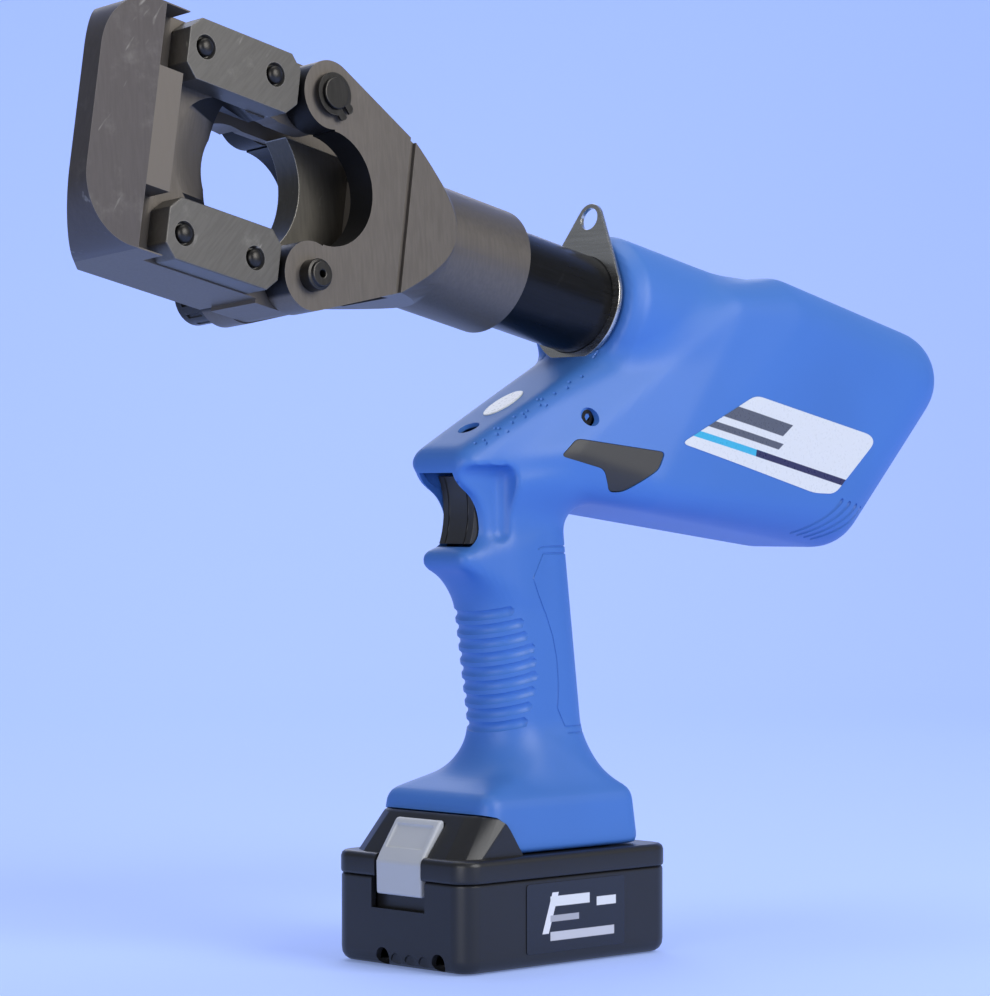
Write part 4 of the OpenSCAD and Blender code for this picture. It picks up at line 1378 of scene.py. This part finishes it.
@dataclass
class Finishes:
    """The materials of the tool, one for each slot of its record."""

    made: dict[str, bpy.types.Material] = field(default_factory=dict)

    def build(self) -> dict[str, bpy.types.Material]:
        """Makes every slot's material.

        Returns:
            Materials by slot.
        """
        cyan, navy, ink = (0.05, 0.42, 0.62), (0.03, 0.03, 0.09), (0.10, 0.11, 0.14)
        white = (0.72, 0.73, 0.72)
        orange, silver = (0.75, 0.42, 0.12), (0.75, 0.75, 0.76)
        grey, pale_grey = (0.4, 0.4, 0.42), (0.55, 0.55, 0.57)
        side_prints = (Print((100, -46.5), (157, -43.6), cyan),
                       Print((150, -46.5), (215, -43.6), navy),
                       Print((147, -34.5), (196, -28.5), ink, 0.9),
                       Print((132, -40.6), (200, -37.6), ink, 0.9),
                       Print((133.5, -33.5), (141.5, -27.5), orange, 0.9))
        pack_prints = (Print((-21, 13), (-17.5, 29), silver, 0.35),
                       Print((-12, 23.5), (10, 27.5), white),
                       Print((-12, 17.5), (4, 20), grey),
                       Print((14, 22), (25, 25.5), white),
                       Print((-12, 10), (24, 13.5), pale_grey))
        kinds = {
            "blue_shell": Plastic((0.052, 0.170, 0.50), 0.46, 1500.0, 0.00003, 0.05),
            "label": PrintedFilm(white, BARREL, side_prints),
            "badge": PrintedFilm((0.62, 0.64, 0.62), BARREL, ()),
            "lens": Clear(),
            "black_plastic": Plastic((0.018, 0.018, 0.02), 0.5),
            "spring_steel": Steel((0.40, 0.40, 0.41), (0.6, 0.6, 0.6), 0.3, edge=0.0),
            "circuit_board": Plastic((0.02, 0.16, 0.07), 0.35, 500.0),
            "red_wire": Plastic((0.42, 0.02, 0.02), 0.4, 600.0),
            "zinc_plate": Steel((0.50, 0.50, 0.52), (0.62, 0.62, 0.62), 0.33, edge=0.1),
            "cast_alloy": Steel((0.42, 0.42, 0.43), (0.6, 0.6, 0.6), 0.5, edge=0.2),
            "bronze": Steel((0.42, 0.24, 0.09), (0.6, 0.38, 0.16), 0.38, edge=0.2),
            "dark_steel": Steel((0.050, 0.047, 0.043), (0.20, 0.19, 0.18), 0.36, 0.9, 0.2, 0.1, 0.25),
            "rubber": Plastic((0.012, 0.012, 0.012), 0.62, 900.0, 0.00006),
            "copper": Steel((0.55, 0.25, 0.11), (0.7, 0.4, 0.2), 0.34, edge=0.1),
            "ground_steel": Steel((0.46, 0.45, 0.44), (0.62, 0.61, 0.60), 0.26, 1.0, 0.2, 0.15, 0.2,
                                  BARREL.x),
            "black_steel": Steel((0.018, 0.018, 0.019), (0.055, 0.055, 0.057), 0.30, 0.8, 0.15, 0.25, 0.2,
                                 BARREL.x),
            # The hollow setting paints shade on the walls of the hole through the head.
            "brown_steel": Steel(BARE_STEEL, (0.24, 0.22, 0.19), 0.46, 0.6, 0.12, 0.15, 0.3,
                                 hollow=(-114.0, 46.0)),
            "block_steel": Steel((0.095, 0.083, 0.078), (0.22, 0.205, 0.185), 0.50, 0.6, 1.0, 0.6, 0.4,
                                 land=-176.0),
            "plate_steel": Steel((0.135, 0.127, 0.114), (0.34, 0.325, 0.29), 0.44, 0.75, 0.8, 0.5, 0.8,
                                 (0.7, 0.0, 0.7)),
            "blade_steel": Steel((0.115, 0.105, 0.088), (0.46, 0.44, 0.39), 0.38, 0.85, 0.3, 0.3, 1.0),
            "grey_plastic": Plastic((0.026, 0.025, 0.024), 0.48, 1300.0, 0.00003, 0.08),
            "stainless": Steel((0.62, 0.60, 0.56), (0.74, 0.72, 0.68), 0.26, 1.0, 0.2, 0.2, 0.2, BARREL.y),
            "black_case": Plastic((0.013, 0.013, 0.014), 0.36, 1200.0, 0.00003, 0.1),
            "cell_wrap": Plastic((0.03, 0.22, 0.12), 0.3, 300.0),
            "dark_label": PrintedFilm((0.008, 0.008, 0.009), TOOL, pack_prints, 0.2),
            "pale_plastic": Plastic((0.50, 0.51, 0.52), 0.42, 1200.0, 0.00002, 0.04),
        }
        self.made = {slot: kind.make(slot + "_finish") for slot, kind in kinds.items()}
        return self.made


def dress_frame(finishes: dict[str, bpy.types.Material]) -> None:
    """Gives every CAD node its slot's finish.

    Args:
        finishes: materials by slot.
    """
    for part in frame["record"]["subparts"]:
        node = frame["nodes"][part["node"]]
        node.data.materials.clear()
        node.data.materials.append(finishes[part["material_slot"]])


# ---- Stage ----
@dataclass
class Studio:
    """Camera, floor, backdrop and soft lights."""

    eye: tuple[float, float, float] = (-0.9706, -0.9991, 0.1815)
    aim: tuple[float, float, float] = (0.695, 0.719, 0.0)
    middle: tuple[float, float, float] = (0.0, 0.0, 0.2)
    lens: float = 124.7
    rise: float = 0.0070
    colour: Colour = (0.380, 0.500, 0.900)

    def camera(self) -> None:
        """Makes the camera."""
        data = bpy.data.cameras.new("camera")
        data.lens, data.sensor_width, data.shift_y = self.lens, 36.0, self.rise
        data.clip_start, data.clip_end = 0.05, 20.0
        made = bpy.data.objects.new("camera", data)
        made.location = self.eye
        made.rotation_mode = "QUATERNION"
        made.rotation_quaternion = Vector(self.aim).to_track_quat("-Z", "Y")
        bpy.context.scene.collection.objects.link(made)
        bpy.context.scene.camera = made

    def backdrop(self) -> None:
        """Floor and wall in one pale sheet, curved where they meet."""
        radius, near, far, half, floor = 700.0, -2600.0, 1500.0, 3200.0, -0.4
        profile = [(near, floor), (far, floor)]
        profile += [(far + radius * math.sin(a), radius + floor - radius * math.cos(a))
                    for a in np.radians(np.linspace(8, 90, 12))]
        profile.append((far + radius, half))
        ahead = np.array((self.aim[0], self.aim[1], 0.0))
        side = np.array((-ahead[1], ahead[0], 0.0))
        points = [ahead * reach + side * s * half + np.array((0, 0, z))
                  for reach, z in profile for s in (-1, 1)]
        faces = [[2 * i, 2 * i + 1, 2 * i + 3, 2 * i + 2] for i in range(len(profile) - 1)]
        made = mesh_object("backdrop", np.array(points), faces)
        smooth(made, 80)
        paint = Paint("backdrop_paper")
        tone = paint.noise(2.0, 1.0)
        dim = tuple(c * 0.98 for c in self.colour)
        paint.set(Base_Color=paint.mix(tone, dim, self.colour), Roughness=0.95)
        paint.shader.inputs["Emission Strength"].default_value = 0.34
        paint.shader.inputs["Emission Color"].default_value = (*self.colour, 1.0)
        made.data.materials.append(paint.material)

    def light(self, name: str, place: Sequence[float], size: float, power: float) -> None:
        """Makes one soft light aimed at the tool's middle.

        Args:
            name: its name.
            place: its place in metres.
            size: width of its square.
            power: its power in watts.
        """
        data = bpy.data.lights.new(name, "AREA")
        data.size, data.energy = size, power
        made = bpy.data.objects.new(name, data)
        made.location = place
        made.rotation_mode = "QUATERNION"
        made.rotation_quaternion = (Vector(self.middle) - Vector(place)).to_track_quat("-Z", "Y")
        bpy.context.scene.collection.objects.link(made)

    def build(self) -> None:
        """Makes the sheet, the lights and the sky."""
        self.backdrop()
        self.light("key", (0.35, -1.8, 1.15), 1.3, 30.0)
        self.light("fill", (-1.9, -0.7, 0.55), 1.2, 13.0)
        self.light("top", (0.1, 0.3, 1.9), 1.4, 11.0)
        self.light("back", (1.2, 1.6, 1.2), 1.2, 8.0)
        world = bpy.data.worlds.new("sky")
        world.use_nodes = True
        ground = world.node_tree.nodes["Background"]
        ground.inputs["Color"].default_value = (0.80, 0.87, 1.0, 1.0)
        ground.inputs["Strength"].default_value = 0.26
        bpy.context.scene.world = world
        bpy.context.scene.view_settings.view_transform = "Standard"


def main() -> None:
    """Builds the tool, sub-assembly by sub-assembly."""
    logging.basicConfig(level=logging.INFO, format="%(name)s: %(message)s")
    studio = Studio()
    studio.camera()
    finishes = Finishes().build()
    dress_frame(finishes)
    housing = Housing(finishes)
    housing.build()
    Battery(finishes).build(housing)
    CuttingHead(finishes).build()
    Trigger(finishes).build()
    studio.build()


if __name__ == "__main__":
    main()
